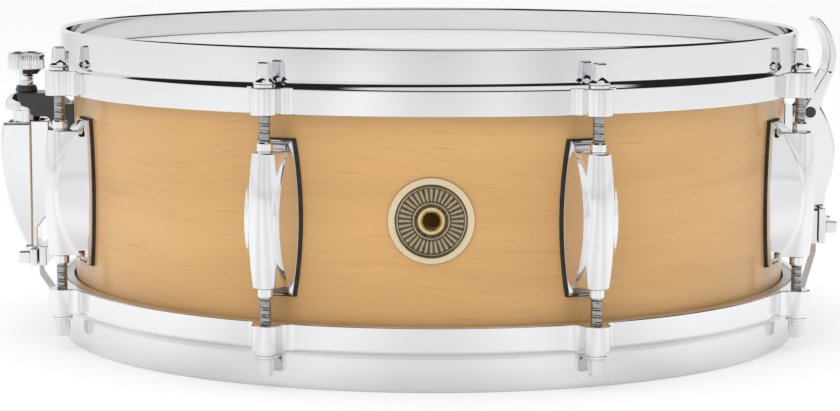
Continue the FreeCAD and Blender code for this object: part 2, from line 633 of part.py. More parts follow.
def make_lug(name):
    """A die-cast lug: foot, two wings, web and a hollow spindle with a mouth at each end."""
    body = new_body(name)
    front = f"({LUG_BACK} + lug_base_thickness)"
    inner = f"({LUG_BACK} - 2)"
    half = "(lug_length / 2)"
    foot_end = "(lug_base_length / 2)"
    rise = "(lug_ridge_reach + lug_ridge_end)"
    arc = f"({half}^2 + {rise}^2) / (2 * {rise})"
    wings = new_sketch(body, "XZ_Plane")
    loop(wings, [(inner, f"-{foot_end}"), (front, f"-{foot_end}"), ("-lug_ridge_end", f"-{half}", arc, 1),
                 ("lug_ridge_reach", "0", arc, 1), ("-lug_ridge_end", half), (front, foot_end),
                 (inner, foot_end)])
    pad(body, wings, "lug_base_middle_width", both=True)
    outline = new_sketch(body, "YZ_Plane", inner)
    box_loop(outline, "-lug_base_middle_width", "-lug_base_length",
             "lug_base_middle_width", "lug_base_length")
    foot_outline(outline, "0")
    pocket(body, outline, "rod_offset * 3", backwards=True)
    slopes = new_sketch(body, "XY_Plane")
    low_y = "(lug_base_middle_width / 2)"
    high_y = "(lug_ridge_width / 2)"
    far_y = "lug_base_middle_width"
    beyond = "(lug_ridge_reach + 1)"
    loop(slopes, [(front, low_y), (beyond, high_y), (beyond, far_y), (front, far_y)])
    loop(slopes, [(front, f"-{low_y}"), (front, f"-{far_y}"), (beyond, f"-{far_y}"), (beyond, f"-{high_y}")])
    pocket(body, slopes, "lug_length * 2", both=True)
    foot = new_sketch(body, "YZ_Plane", inner)
    foot_outline(foot, "0")
    pad(body, foot, f"{front} - {inner}")
    web = new_sketch(body, "XZ_Plane")
    box_loop(web, inner, f"-{half}", "0", half)
    pad(body, web, "lug_web_width", both=True)
    bow = "(lug_spindle_middle_radius - lug_spindle_end_radius)"
    belly = f"({half}^2 + {bow}^2) / (2 * {bow})"
    turned(body, [("0", f"-{half}"), ("lug_spindle_end_radius", f"-{half}", belly, 1),
                  ("lug_spindle_end_radius", half), ("0", half)])
    seat = new_sketch(body, "XY_Plane")
    ring(seat, f"{ROD_CIRCLE} + {LUG_BACK}", f"-{ROD_CIRCLE}")
    pocket(body, seat, "lug_length * 2", both=True)
    mouth = new_sketch(body, "XY_Plane")
    ring(mouth, "lug_mouth_radius")
    pocket(body, mouth, "lug_length + 2", both=True)
    chamber = new_sketch(body, "XY_Plane")
    ring(chamber, "lug_bore_radius")
    pocket(body, chamber, "lug_length - 2 * lug_mouth_length", both=True)
    holes = new_sketch(body, "YZ_Plane", inner)
    ring(holes, "screw_radius + running_clearance", up="lug_screw_spacing / 2")
    ring(holes, "screw_radius + running_clearance", up="-lug_screw_spacing / 2")
    pocket(body, holes, "screw_grip + 2", backwards=True)
    return body


def make_gaskets():
    """Thin gaskets between the lugs and the shell."""
    body = new_body("lug_gaskets")
    sketch = new_sketch(body, "YZ_Plane", INSIDE)
    foot_outline(sketch, "gasket_margin")
    ring(sketch, "screw_radius + running_clearance", up="lug_screw_spacing / 2")
    ring(sketch, "screw_radius + running_clearance", up="-lug_screw_spacing / 2")
    around(body, [pad(body, sketch, "shell_wall + rod_offset")], LUGS)
    trim = new_sketch(body, "XY_Plane")
    ring(trim, f"{SHELL} + running_clearance")
    pocket(body, trim, "lug_base_length * 2", both=True)
    skin = new_sketch(body, "XY_Plane")
    ring(skin, f"{ROD_CIRCLE} * 2")
    ring(skin, f"{SHELL} + gasket_thickness")
    pocket(body, skin, "lug_base_length * 2", both=True)
    place(body, LUG_ANGLES[0], height=MIDDLE)


def make_nuts():
    """Swivel nuts: a flange inside the lug and a collar out through its mouth, at both ends."""
    body = new_body("swivel_nuts")
    bore = "rod_radius + running_clearance"
    flange_top = "(lug_length / 2 - lug_mouth_length - seat_gap)"
    features = []
    for flange_start, collar_start in (
            (f"{flange_top} - nut_flange_height", flange_top),
            (f"0 - {flange_top}", "0 - lug_length / 2 - nut_reach")):
        flange = new_sketch(body, "XY_Plane", flange_start)
        ring(flange, "nut_flange_radius", ROD_CIRCLE)
        ring(flange, bore, ROD_CIRCLE)
        features.append(pad(body, flange, "nut_flange_height"))
        collar = new_sketch(body, "XY_Plane", collar_start)
        ring(collar, "nut_collar_radius", ROD_CIRCLE)
        ring(collar, bore, ROD_CIRCLE)
        features.append(pad(body, collar, f"lug_length / 2 + nut_reach - {flange_top}"))
    around(body, features, LUGS)
    place(body, LUG_ANGLES[0], height=MIDDLE)


def make_springs():
    """The spring between a lug's two nuts, as the tube that its coils fill."""
    body = new_body("nut_springs")
    length = "(lug_length - 2 * (lug_mouth_length + seat_gap + nut_flange_height))"
    sketch = new_sketch(body, "XY_Plane", f"0 - {length} / 2")
    ring(sketch, "nut_flange_radius", ROD_CIRCLE)
    ring(sketch, "nut_flange_radius - spring_wall", ROD_CIRCLE)
    around(body, [pad(body, sketch, length)], LUGS)
    place(body, LUG_ANGLES[0], height=MIDDLE)


def radial_rod(body, radius, start, length, heights):
    """Round bars along X, one at each height."""
    sketch = new_sketch(body, "YZ_Plane", start)
    for height in heights:
        ring(sketch, radius, up=height)
    return pad(body, sketch, length)


WASHER_FACE = f"sqrt({INSIDE}^2 - screw_washer_radius^2)"
HEAD_FACE = f"({WASHER_FACE} - screw_washer_thickness)"


def make_lug_screws():
    """The screws that hold the lugs, driven from inside the shell."""
    body = new_body("lug_screws")
    heights = ["lug_screw_spacing / 2", "-lug_screw_spacing / 2"]
    shank = radial_rod(body, "screw_radius", HEAD_FACE,
                       f"{SHELL} + gasket_thickness + screw_grip - 1 - {HEAD_FACE}", heights)
    head = radial_rod(body, "screw_head_radius", f"{HEAD_FACE} - screw_head_height",
                      "screw_head_height", heights)
    around(body, [shank, head], LUGS)
    place(body, LUG_ANGLES[0], height=MIDDLE)


def make_screw_washers():
    body = new_body("lug_screw_washers")
    sketch = new_sketch(body, "YZ_Plane", HEAD_FACE)
    for height in ("lug_screw_spacing / 2", "-lug_screw_spacing / 2"):
        ring(sketch, "screw_washer_radius", up=height)
        ring(sketch, "screw_radius + running_clearance", up=height)
    around(body, [pad(body, sketch, "screw_washer_thickness")], LUGS)
    place(body, LUG_ANGLES[0], height=MIDDLE)


def make_mounting_screws():
    """The four screws that hold the throw-off and the butt end."""
    body = new_body("strainer_screws")
    heights = ["mount_screw_high", "mount_screw_low"]
    start = f"sqrt({INSIDE}^2 - screw_head_radius^2)"
    shank = radial_rod(body, "screw_radius", start,
                       f"{SHELL} + mount_gasket + mount_plate - 1 - {start}", heights)
    head = radial_rod(body, "screw_head_radius", f"{start} - screw_head_height",
                      "screw_head_height", heights)
    around(body, [shank, head], 2)
    place(body, height=MIDDLE)


# ---- throw-off and butt end: drawn in their own upright plane, +X away from the shell ---------

def upright(body, corners, width):
    """A slab whose outline lies in the XZ plane, centred on it."""
    sketch = new_sketch(body, "XZ_Plane")
    loop(sketch, corners)
    return pad(body, sketch, width, both=True)


def cut_upright(body, corners, width):
    sketch = new_sketch(body, "XZ_Plane")
    loop(sketch, corners)
    return pocket(body, sketch, width, both=True)


def box_corners(low_x, low_z, high_x, high_z):
    return [(low_x, low_z), (high_x, low_z), (high_x, high_z), (low_x, high_z)]


PLATE_FACE = f"({SHELL} + mount_gasket + mount_plate)"
PIVOT_X = f"({SHELL} + pivot_reach)"


def seat_on_shell(body, radius):
    """Hollows the back of a piece to a cylinder about the drum's axis."""
    sketch = new_sketch(body, "XY_Plane")
    ring(sketch, radius)
    pocket(body, sketch, "shell_depth * 2", both=True)


def drill_mount(body):
    sketch = new_sketch(body, "YZ_Plane", INSIDE)
    ring(sketch, "screw_radius + running_clearance", up="mount_screw_high")
    ring(sketch, "screw_radius + running_clearance", up="mount_screw_low")
    pocket(body, sketch, "shell_wall + mount_gasket + mount_plate - 0.5", backwards=True)


def stand(body, side):
    """Stands a throw-off piece at +X, or a butt piece at -X."""
    place(body, 0 if side > 0 else 180, height=MIDDLE)


def make_mount_gasket(name, side):
    body = new_body(name)
    upright(body, box_corners(INSIDE, "mount_bottom - gasket_margin", f"{SHELL} + mount_gasket + 4",
                              "mount_top + gasket_margin"), "2 * (mount_half_width + gasket_margin)")
    seat_on_shell(body, f"{SHELL} + running_clearance")
    skin = new_sketch(body, "XY_Plane")
    ring(skin, f"{SHELL} * 2")
    ring(skin, f"{SHELL} + mount_gasket")
    pocket(body, skin, "shell_depth * 2", both=True)
    drill_mount(body)
    stand(body, side)


def make_throwoff_base():
    """The plate that carries the throw-off, hollowed to the shell."""
    body = new_body("throwoff_base")
    upright(body, box_corners(INSIDE, "mount_bottom", PLATE_FACE, "mount_top"), "2 * mount_half_width")
    seat_on_shell(body, f"{SHELL} + mount_gasket")
    drill_mount(body)
    stand(body, 1)


def make_housing():
    """The throw-off's housing: a bowed hood, open at the top and the bottom for the slide."""
    body = new_body("throwoff_housing")
    top_x = f"({SHELL} + housing_top_reach)"
    bulge_x = f"({SHELL} + housing_bulge_reach)"
    bottom_x = f"({SHELL} + housing_bottom_reach)"
    upright(body, [(PLATE_FACE, "housing_bottom"), (bottom_x, "housing_bottom", "housing_hollow_arc", -1),
                   (f"({SHELL} + housing_waist_reach)", "housing_waist", "housing_lower_arc", 1),
                   (bulge_x, "housing_bulge", "housing_upper_arc", 1), (top_x, "housing_top"),
                   (f"{PLATE_FACE} + 5", "housing_top"), (PLATE_FACE, "mount_top - 3")],
            "2 * housing_half_width")
    inner_x = f"({PLATE_FACE} - 1)"
    cut_upright(body, [(inner_x, "housing_bottom - 1"), (f"{bottom_x} - housing_wall", "housing_bottom - 1"),
                       (f"{bulge_x} - housing_wall", "housing_bulge"),
                       (f"{top_x} - housing_wall", "housing_top + 1"),
                       (inner_x, "housing_top + 1")],
                "2 * (housing_half_width - housing_wall)")
    eye = new_sketch(body, "XZ_Plane")
    ring(eye, "lever_shaft_radius + running_clearance", PIVOT_X, "pivot_height")
    pocket(body, eye, "2 * housing_half_width + 2", both=True)
    rounded(body, "housing_half_width / 4",
            lambda edge: abs(edge.BoundBox.YMin) > value("housing_half_width") - 0.01
            and edge.BoundBox.YLength < 0.01 and edge.BoundBox.XMax > value(bottom_x) + 0.1
            and edge.BoundBox.ZLength > 10)
    slot_bottom = "pivot_height - housing_slot_drop"
    cut_upright(body, box_corners(inner_x, slot_bottom, f"{bulge_x} + 1", "housing_top + 1"),
                "2 * (housing_half_width - housing_wall)")
    stand(body, 1)


CRANK_X = f"({PIVOT_X} + crank_radius * cos(crank_angle))"
CRANK_Z = "(pivot_height + crank_radius * sin(crank_angle))"


def make_lever_shaft():
    """The lever's shaft, with two crank webs and the crank pin between them."""
    body = new_body("throwoff_lever_shaft")
    shaft = new_sketch(body, "XZ_Plane")
    ring(shaft, "lever_shaft_radius", PIVOT_X, "pivot_height")
    reach = "(housing_half_width + seat_gap + lever_arm)"
    pad(body, shaft, f"2 * {reach}", both=True)
    for start in ("0 - slide_tongue_half_width - seat_gap - crank_web", "slide_tongue_half_width + seat_gap"):
        web = new_sketch(body, "XZ_Plane", start)
        ring(web, "lever_shaft_radius + crank_pin_radius", f"({PIVOT_X} + {CRANK_X}) / 2",
             f"(pivot_height + {CRANK_Z}) / 2")
        pad(body, web, "crank_web")
    pin = new_sketch(body, "XZ_Plane")
    ring(pin, "crank_pin_radius", CRANK_X, CRANK_Z)
    pad(body, pin, "2 * (slide_tongue_half_width + seat_gap + crank_web)", both=True)
    stand(body, 1)


def make_lever():
    """The throw-off's lever: two arms beside the housing that join into a bowed paddle."""
    body = new_body("throwoff_lever")
    foot_z = "(pivot_height + lever_web_rise)"
    bow_x = f"({PIVOT_X} + lever_bow)"
    bow_z = "(pivot_height + lever_bow_rise)"
    tip_x = f"({PIVOT_X} + lever_bow / 4)"
    tip_z = "(pivot_height + lever_rise)"
    foot_x = f"({PIVOT_X} + lever_foot_reach)"
    half = "(housing_half_width + seat_gap + lever_arm)"
    paddle = [(foot_x, foot_z),
              (f"{foot_x} + lever_plate", f"{foot_z} - lever_plate / 2", "lever_lower_arc", 1),
              (bow_x, bow_z, "lever_upper_arc", 1), (tip_x, tip_z),
              (f"{tip_x} - lever_tip", f"{tip_z} - lever_tip", "lever_upper_arc - lever_plate", -1),
              (f"{bow_x} - lever_plate", bow_z, "lever_lower_arc - lever_plate", -1)]
    upright(body, paddle, f"2 * {half}")
    for start in (f"0 - {half}", "housing_half_width + seat_gap"):
        arm = new_sketch(body, "XZ_Plane", start)
        loop(arm, [(f"{PIVOT_X} - lever_eye", "pivot_height", "lever_eye", 1),
                   (PIVOT_X, "pivot_height - lever_eye", "lever_eye", 1),
                   (f"{PIVOT_X} + lever_eye", "pivot_height"),
                   (f"{foot_x} + lever_plate", f"{foot_z} - lever_plate / 2"),
                   (f"{foot_x} + lever_plate / 2", f"{foot_z} + lever_plate / 2")])
        pad(body, arm, "lever_arm")
    eye = new_sketch(body, "XZ_Plane")
    ring(eye, "lever_shaft_radius + running_clearance / 5", PIVOT_X, "pivot_height")
    pocket(body, eye, f"2 * {half} + 2", both=True)
    stand(body, 1)


def drill_clamp(body, face, middle):
    """Holes in a slide's clamping face for the clamp screws."""
    doc.recompute()
    holes = new_sketch(body, "YZ_Plane", face)
    for across in ("clamp_screw_spacing / 2", "-clamp_screw_spacing / 2"):
        ring(holes, "clamp_screw_radius + running_clearance", across, middle)
    pocket(body, holes, "clamp_screw_grip + seat_gap")


def make_throwoff_slide():
    """The slide: a tongue with the crank's slot, a bar through the housing, and the clamp's block."""
    body = new_body("throwoff_slide")
    inner_x = f"({PLATE_FACE} + seat_gap)"
    face_x = f"({SHELL} + clamp_face_reach)"
    slide_width = "2 * (housing_half_width - housing_wall - seat_gap)"
    bar_x = f"({SHELL} + housing_top_reach - housing_wall - seat_gap)"
    tongue_top = f"({CRANK_Z} + crank_pin_radius + crank_play + crank_slot_wall)"
    shoulder = "(pivot_height - lever_shaft_radius - crank_pin_radius - crank_radius - 1)"
    clamp_bottom = "(clamp_top - clamp_height)"
    upright(body, box_corners(inner_x, "housing_bottom", bar_x, shoulder), slide_width)
    upright(body, box_corners(inner_x, clamp_bottom, face_x, "clamp_top"), "2 * clamp_half_width")
    upright(body, [(inner_x, "clamp_top - 1"), (face_x, "clamp_top - 1"), (bar_x, "housing_bottom + 1"),
                   (inner_x, "housing_bottom + 1")], slide_width)
    tongue_x = f"({PIVOT_X} + lever_shaft_radius + seat_gap)"
    slot_end = f"({PIVOT_X} + crank_radius + crank_pin_radius + seat_gap)"
    far_x = f"({slot_end} + crank_slot_wall)"
    foot_z = f"({shoulder} - slide_foot_height)"
    upright(body, [(f"{bar_x} - 1", foot_z), (far_x, foot_z), (far_x, tongue_top), (tongue_x, tongue_top),
                   (tongue_x, shoulder), (f"{bar_x} - 1", shoulder)], "2 * slide_tongue_half_width")
    slot_low = f"({CRANK_Z} - crank_pin_radius - crank_play)"
    slot_high = f"({CRANK_Z} + crank_pin_radius + crank_play)"
    cut_upright(body, box_corners(f"{tongue_x} - 1", slot_low, slot_end, slot_high),
                "2 * slide_tongue_half_width + 1")
    drill_clamp(body, face_x, f"({clamp_bottom} + clamp_top) / 2")
    stand(body, 1)


def make_clamp_plate(name, side, face_reach, top, height):
    """The plate that grips a strap against its slide."""
    body = new_body(name)
    face = f"({SHELL} + {face_reach} + strap_gap)"
    upright(body, box_corners(face, f"{top} - {height}", f"{face} + clamp_plate_thickness", top),
            "2 * clamp_half_width")
    rounded(body, "clamp_round", lambda edge: edge.BoundBox.YLength + edge.BoundBox.ZLength < 0.01)
    holes = new_sketch(body, "YZ_Plane", face)
    for across in ("clamp_screw_spacing / 2", "-clamp_screw_spacing / 2"):
        ring(holes, "clamp_screw_radius + running_clearance", across, f"{top} - {height} / 2")
    pocket(body, holes, "clamp_plate_thickness + 1", backwards=True)
    stand(body, side)


def make_clamp_screws(name, side, face_reach, top, height):
    """Square-headed screws through a clamp plate."""
    body = new_body(name)
    face = f"({SHELL} + {face_reach} + strap_gap + clamp_plate_thickness)"
    middle = f"({top} - {height} / 2)"
    shank = new_sketch(body, "YZ_Plane", f"{face} - clamp_plate_thickness - strap_gap - clamp_screw_grip")
    head = new_sketch(body, "YZ_Plane", face)
    half = "clamp_head_width / 2"
    for across in ("clamp_screw_spacing / 2", "-clamp_screw_spacing / 2"):
        ring(shank, "clamp_screw_radius", across, middle)
        box_loop(head, f"{across} - {half}", f"{middle} - {half}", f"{across} + {half}", f"{middle} + {half}")
    pad(body, shank, "clamp_plate_thickness + strap_gap + clamp_screw_grip")
    pad(body, head, "clamp_head_height")
    stand(body, side)


KNOB_X = f"({SHELL} + knob_reach)"


def make_butt_base():
    """The butt's black base: plate, guide for the slide, and the arm that carries the cap."""
    body = new_body("butt_base")
    upright(body, box_corners(INSIDE, "mount_bottom", PLATE_FACE, "mount_top"), "2 * mount_half_width")
    guide_x = f"({SHELL} + butt_slide_inner_reach - seat_gap)"
    upright(body, box_corners(f"{PLATE_FACE} - 1", "mount_bottom", guide_x, "cap_sleeve_end"),
            "2 * butt_guide_half_width")
    arm_low = "(butt_slide_top + 2.5)"
    arm_end = KNOB_X
    upright(body, [(f"{PLATE_FACE} - 1", "cap_sleeve_end"), (guide_x, "cap_sleeve_end"), (guide_x, arm_low),
                   (arm_end, arm_low), (arm_end, "cap_top - 2"), (f"{PLATE_FACE} - 1", "mount_top")],
            "2 * butt_arm_half_width")
    seat_on_shell(body, f"{SHELL} + mount_gasket")
    drill_mount(body)
    well = new_sketch(body, "XY_Plane", "cap_sleeve_end")
    ring(well, "cap_sleeve_radius + running_clearance", KNOB_X)
    pocket(body, well, "shell_depth", backwards=True)
    seat = new_sketch(body, "XY_Plane", "cap_shoulder - 1")
    ring(seat, "cap_radius + running_clearance", KNOB_X)
    pocket(body, seat, "shell_depth", backwards=True)
    stand(body, -1)


def on_knob_axis(name, corners):
    body = new_body(name)
    turned(body, corners)
    place(body, 180, KNOB_X, MIDDLE)
    return body


def make_cap():
    """The chrome cap on the arm, with the sleeve that the knob turns in."""
    bore = "(knob_stem_radius + running_clearance)"
    on_knob_axis("butt_cap", [
        (bore, "cap_sleeve_end"), ("cap_sleeve_radius", "cap_sleeve_end"),
        ("cap_sleeve_radius", "cap_shoulder - 1"),
        ("cap_radius", "cap_shoulder - 1"), ("cap_radius", "cap_shoulder", "cap_radius - 1.5", 1),
        ("cap_crown_radius", "cap_top"), (bore, "cap_top")])


def make_knob():
    """The tension knob: knurled head, neck, collar on the cap, and the threaded stem."""
    on_knob_axis("tension_knob", [
        ("0", "knob_stem_end"), ("knob_stem_radius", "knob_stem_end"), ("knob_stem_radius", "cap_top"),
        ("knob_collar_radius", "cap_top"), ("knob_collar_radius", "knob_collar_top"),
        ("knob_neck_radius", "knob_collar_top"), ("knob_neck_radius", "knob_top - knob_knurl - knob_taper"),
        ("knob_radius - knob_taper", "knob_top - knob_knurl - knob_taper"),
        ("knob_radius", "knob_top - knob_knurl"), ("knob_radius", "knob_top"), ("0", "knob_top")])


def make_butt_slide():
    """The butt's moving cover, which the stem raises and lowers, with its clamp's block below."""
    body = new_body("butt_slide")
    inner_x = f"({SHELL} + butt_slide_inner_reach)"
    bulge_x = f"({SHELL} + butt_slide_bulge_reach)"
    bottom_x = f"({SHELL} + butt_slide_bottom_reach)"
    face_x = f"({SHELL} + butt_clamp_face_reach)"
    clamp_bottom = "(butt_clamp_top - butt_clamp_height)"
    upright(body, [(f"{face_x} - 4", "butt_slide_bottom"),
                   (bottom_x, "butt_slide_bottom", "butt_slide_lower_arc", 1),
                   (bulge_x, "butt_slide_bulge", "butt_slide_upper_arc", 1),
                   (f"{bulge_x} - 0.8", "butt_slide_top"), (inner_x, "butt_slide_top"),
                   (inner_x, "butt_slide_bottom + 18")], "2 * butt_slide_half_width")
    upright(body, box_corners(f"{face_x} - 4", clamp_bottom, face_x, "butt_clamp_top"),
            "2 * clamp_half_width")
    upright(body, box_corners(f"{face_x} - 4", "butt_clamp_top - 1", face_x, "butt_slide_bottom + 1"),
            "2 * butt_slide_half_width")
    well = new_sketch(body, "XY_Plane", "butt_slide_top")
    ring(well, "cap_sleeve_radius + seat_gap", KNOB_X)
    pocket(body, well, "butt_slide_top - cap_sleeve_end + 3")
    thread = new_sketch(body, "XY_Plane", "butt_slide_top")
    ring(thread, "knob_stem_radius + running_clearance", KNOB_X)
    pocket(body, thread, "butt_slide_top - knob_stem_end + 3")
    drill_clamp(body, face_x, f"({clamp_bottom} + butt_clamp_top) / 2")
    stand(body, -1)


# ---- snare wires ------------------------------------------------------------------------

WIRE_CENTRE = f"({BOTTOM} - film_thickness - wire_drop - wire_radius)"
WIRE_SPAN = "((wire_count - 1) * wire_spacing)"
PLATE_TOP = f"({WIRE_CENTRE} - wire_radius)"


def make_wires():
    """The strands under the snare-side head, each drawn as the cylinder that its coils fill."""
    body = new_body("snare_wires")
    sketch = new_sketch(body, "YZ_Plane")
    for number in range(int(value("wire_count"))):
        ring(sketch, "wire_radius", f"{number} * wire_spacing - {WIRE_SPAN} / 2", WIRE_CENTRE)
    pad(body, sketch, "wire_length", both=True)
    place(body)


def make_end_plates():
    """The plates that the strands are soldered to."""
    body = new_body("snare_end_plates")
    half = f"({WIRE_SPAN} / 2 + end_plate_margin)"
    sketch = new_sketch(body, "XY_Plane", f"{PLATE_TOP} - end_plate_thickness")
    near = "(wire_length / 2 - end_plate_length)"
    box_loop(sketch, near, f"-{half}", "wire_length / 2", half)
    box_loop(sketch, "-wire_length / 2", f"-{half}", f"-{near}", half)
    pad(body, sketch, "end_plate_thickness")
    place(body)


def make_straps():
    """Two straps from the end plates, out through the gates and up into the clamps."""
    thickness = value("strap_thickness")
    under_plate = value(f"{PLATE_TOP} - end_plate_thickness") - thickness
    ends = []
    for side, face_reach, top in ((1, "clamp_face_reach", "clamp_top"),
                                  (-1, "butt_clamp_face_reach", "butt_clamp_top")):
        clamp_x = value(f"{SHELL} + {face_reach} + (strap_gap + strap_thickness) / 2")
        clamp_z = value(f"{MIDDLE} + {top}")
        grip = value("clamp_height" if side > 0 else "butt_clamp_height")
        outside = value(f"{SKIRT_OUTER} + strap_clear")
        low = value("strap_low")
        plate_x = value("wire_length / 2")
        path = [Vector(plate_x - 10, 0, under_plate), Vector(plate_x + 2, 0, under_plate),
                Vector(value(COLLAR_INNER) - 6, 0, low), Vector(value(COLLAR_OUTER) + 1, 0, low),
                Vector(outside + 1.5, 0, value(f"{BOTTOM} + skirt_top_drop") - 3),
                Vector(clamp_x, 0, clamp_z - grip - value("strap_run")),
                Vector(clamp_x, 0, clamp_z - value("strap_end_inset"))]
        ends.append(bent_strip(path, side))
    straps = doc.addObject("Part::Feature", "snare_straps")
    straps.Label = "snare_straps"
    straps.Shape = Part.makeCompound(ends)
    straps.Placement = Placement()
    parts["snare_straps"] = straps


def bent_strip(path, side):
    """A strip that follows a path in the XZ plane, with rounded bends, mirrored to -X if asked."""
    bend = value("strap_bend")
    thickness = value("strap_thickness")
    width = value("strap_width")
    edges = []
    start = path[0]
    for before, corner, after in zip(path, path[1:], path[2:]):
        ahead = (after - corner).normalize()
        behind = (before - corner).normalize()
        turn = math.pi - ahead.getAngle(behind)
        back = bend * math.tan(turn / 2)
        begin = corner + behind * back
        end = corner + ahead * back
        towards = (ahead + behind).normalize()
        middle = corner + towards * (math.hypot(bend, back) - bend)
        edges.append(Part.makeLine(start, begin))
        edges.append(Part.Arc(begin, middle, end).toShape())
        start = end
    edges.append(Part.makeLine(start, path[-1]))
    spine = Part.Wire(edges)
    first = path[0]
    across = Vector(0, width / 2, 0)
    up = Vector(0, 0, thickness)
    section = Part.makePolygon([first - across, first + across, first + across + up, first - across + up,
                                first - across])
    strip = spine.makePipeShell([section], True, False)
    if side < 0:
        strip = strip.mirror(Vector(), Vector(1, 0, 0))
    return strip


# ---- the whole drum ---------------------------------------------------------------------

make_shell()
make_badge()
make_grommet()
batter_hoop = make_hoop("batter_hoop")
make_gated_hoop("snare_side_hoop", batter_hoop)
first_rod = make_rod("batter_rod_1")
place_rod(first_rod, True, LUG_ANGLES[0])
for end, is_upper in (("batter", True), ("snare_side", False)):
    make_head(f"{end}_head", is_upper)
    make_flesh_hoop(f"{end}_flesh_hoop", is_upper)
    make_washers(f"{end}_rod_washers", is_upper)
    for number, angle in enumerate(LUG_ANGLES, 1):
        name = f"{end}_rod_{number}"
        if name not in parts:
            place_rod(copy_of(first_rod, name), is_upper, angle)
lug = make_lug("lug_1")
place(lug, LUG_ANGLES[0], ROD_CIRCLE, MIDDLE)
for number, angle in enumerate(LUG_ANGLES[1:], 2):
    place(copy_of(lug, f"lug_{number}"), angle, ROD_CIRCLE, MIDDLE)
make_gaskets()
make_nuts()
make_springs()
make_lug_screws()
make_screw_washers()
make_mounting_screws()
make_mount_gasket("throwoff_gasket", 1)
make_throwoff_base()
make_housing()
make_lever_shaft()
make_lever()
make_throwoff_slide()
make_clamp_plate("throwoff_clamp_plate", 1, "clamp_face_reach", "clamp_top", "clamp_height")
make_clamp_screws("throwoff_clamp_screws", 1, "clamp_face_reach", "clamp_top", "clamp_height")
make_mount_gasket("butt_gasket", -1)
make_butt_base()
make_cap()
make_knob()
make_butt_slide()
make_clamp_plate("butt_clamp_plate", -1, "butt_clamp_face_reach", "butt_clamp_top", "butt_clamp_height")
make_clamp_screws("butt_clamp_screws", -1, "butt_clamp_face_reach", "butt_clamp_top", "butt_clamp_height")
make_wires()
make_end_plates()
make_straps()
doc.recompute()

for item in doc.Objects:
    if "Invalid" in item.State or "Error" in item.State:
        raise RuntimeError(f"{item.Label} failed to build: {item.State}")
for name, item in parts.items():
    if item.Shape.isNull() or not item.Shape.isValid() or not item.Shape.Solids:
        raise RuntimeError(f"{name} has no valid solid")

os.makedirs("parts", exist_ok=True)
for name, item in parts.items():
    item.Shape.exportStep(f"parts/{name}.step")
print(f"{len(parts)} sub-parts, {sum(len(item.Shape.Solids) for item in parts.values())} solids")
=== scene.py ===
# %% [markdown]
# # A snare drum: finishes and fine shapes over a working model
# The working model already has every piece at its real size and place, and every joint.  This
# lesson gives the pieces their looks.  It starts by loading that model.  Nothing that is
# added may make the drum larger.

# %% Load the working model
import bmesh
import bpy
import math
from mathutils import Matrix, Vector


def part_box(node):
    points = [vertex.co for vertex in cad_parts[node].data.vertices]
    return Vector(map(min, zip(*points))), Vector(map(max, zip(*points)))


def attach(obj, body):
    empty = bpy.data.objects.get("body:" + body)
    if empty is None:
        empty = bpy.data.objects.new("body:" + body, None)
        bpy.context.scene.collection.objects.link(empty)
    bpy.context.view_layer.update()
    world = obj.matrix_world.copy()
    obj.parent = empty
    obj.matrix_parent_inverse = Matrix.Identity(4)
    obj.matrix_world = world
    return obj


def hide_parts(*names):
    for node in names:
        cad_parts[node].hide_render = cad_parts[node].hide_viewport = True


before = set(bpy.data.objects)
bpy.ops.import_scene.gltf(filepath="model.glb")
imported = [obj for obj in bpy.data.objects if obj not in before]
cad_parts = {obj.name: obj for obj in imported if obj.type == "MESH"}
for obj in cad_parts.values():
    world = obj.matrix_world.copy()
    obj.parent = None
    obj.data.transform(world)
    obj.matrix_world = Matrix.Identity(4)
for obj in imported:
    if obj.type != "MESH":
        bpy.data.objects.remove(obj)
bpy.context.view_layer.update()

# %% [markdown]
# ## Sizes that many pieces share
# The drum's axis is the Z axis.  The shell's node gives its radius and its two edges, so what
# sits on the shell is placed from them.  Lengths in the cells below are in millimetres, as on a
# drum maker's drawing, and MM turns them into Blender's metres.

# %% Shared sizes
MM = 0.001
shell_low, shell_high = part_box("shell")
SHELL = shell_high[0] / MM
LOWER_EDGE = shell_low[2] / MM
UPPER_EDGE = shell_high[2] / MM
MIDDLE = (LOWER_EDGE + UPPER_EDGE) / 2
LUGS = 8
FIRST_LUG = math.radians(22.5)
ROD_CIRCLE = SHELL + 13.5
print(f"shell radius {SHELL:.1f}, from {LOWER_EDGE:.1f} to {UPPER_EDGE:.1f} mm")


# %% Placing helpers
def shift(x, y, z):
    """A move in millimetres."""
    return Matrix.Translation((x * MM, y * MM, z * MM))


def turned(degrees, axis):
    return Matrix.Rotation(math.radians(degrees), 4, axis)


def placed(name, data):
    """A new object, in the scene."""
    item = bpy.data.objects.new(name, data)
    bpy.context.scene.collection.objects.link(item)
    return item


# %% [markdown]
# ## A short way to wire nodes
# Materials and Geometry Nodes are both trees.  One helper adds a node, sets its sockets and links
# those that are given as another node's output, so a tree reads from top to bottom.

# %% Node helpers
def put(tree, kind, sockets=None, **settings):
    """Adds a node and gives its outputs.  A socket gets a value, an output or a list of outputs."""
    node = tree.nodes.new(kind)
    for name, setting in settings.items():
        setattr(node, name, setting)
    for key, given in (sockets or {}).items():
        for each in given if isinstance(given, list) else [given]:
            if isinstance(each, bpy.types.NodeSocket):
                tree.links.new(each, node.inputs[key])
            else:
                node.inputs[key].default_value = each
    return node.outputs


def reckon(tree, operation, first, second=0.0, third=0.0):
    """A Math node's result."""
    return put(tree, "ShaderNodeMath", {0: first, 1: second, 2: third}, operation=operation)[0]


def vector(tree, **parts):
    """A vector from its X, Y and Z."""
    return put(tree, "ShaderNodeCombineXYZ", parts)[0]


def reckon_vector(tree, operation, first, second=(0, 0, 0)):
    """A Vector Math node's outputs."""
    return put(tree, "ShaderNodeVectorMath", {0: first, 1: second}, operation=operation)


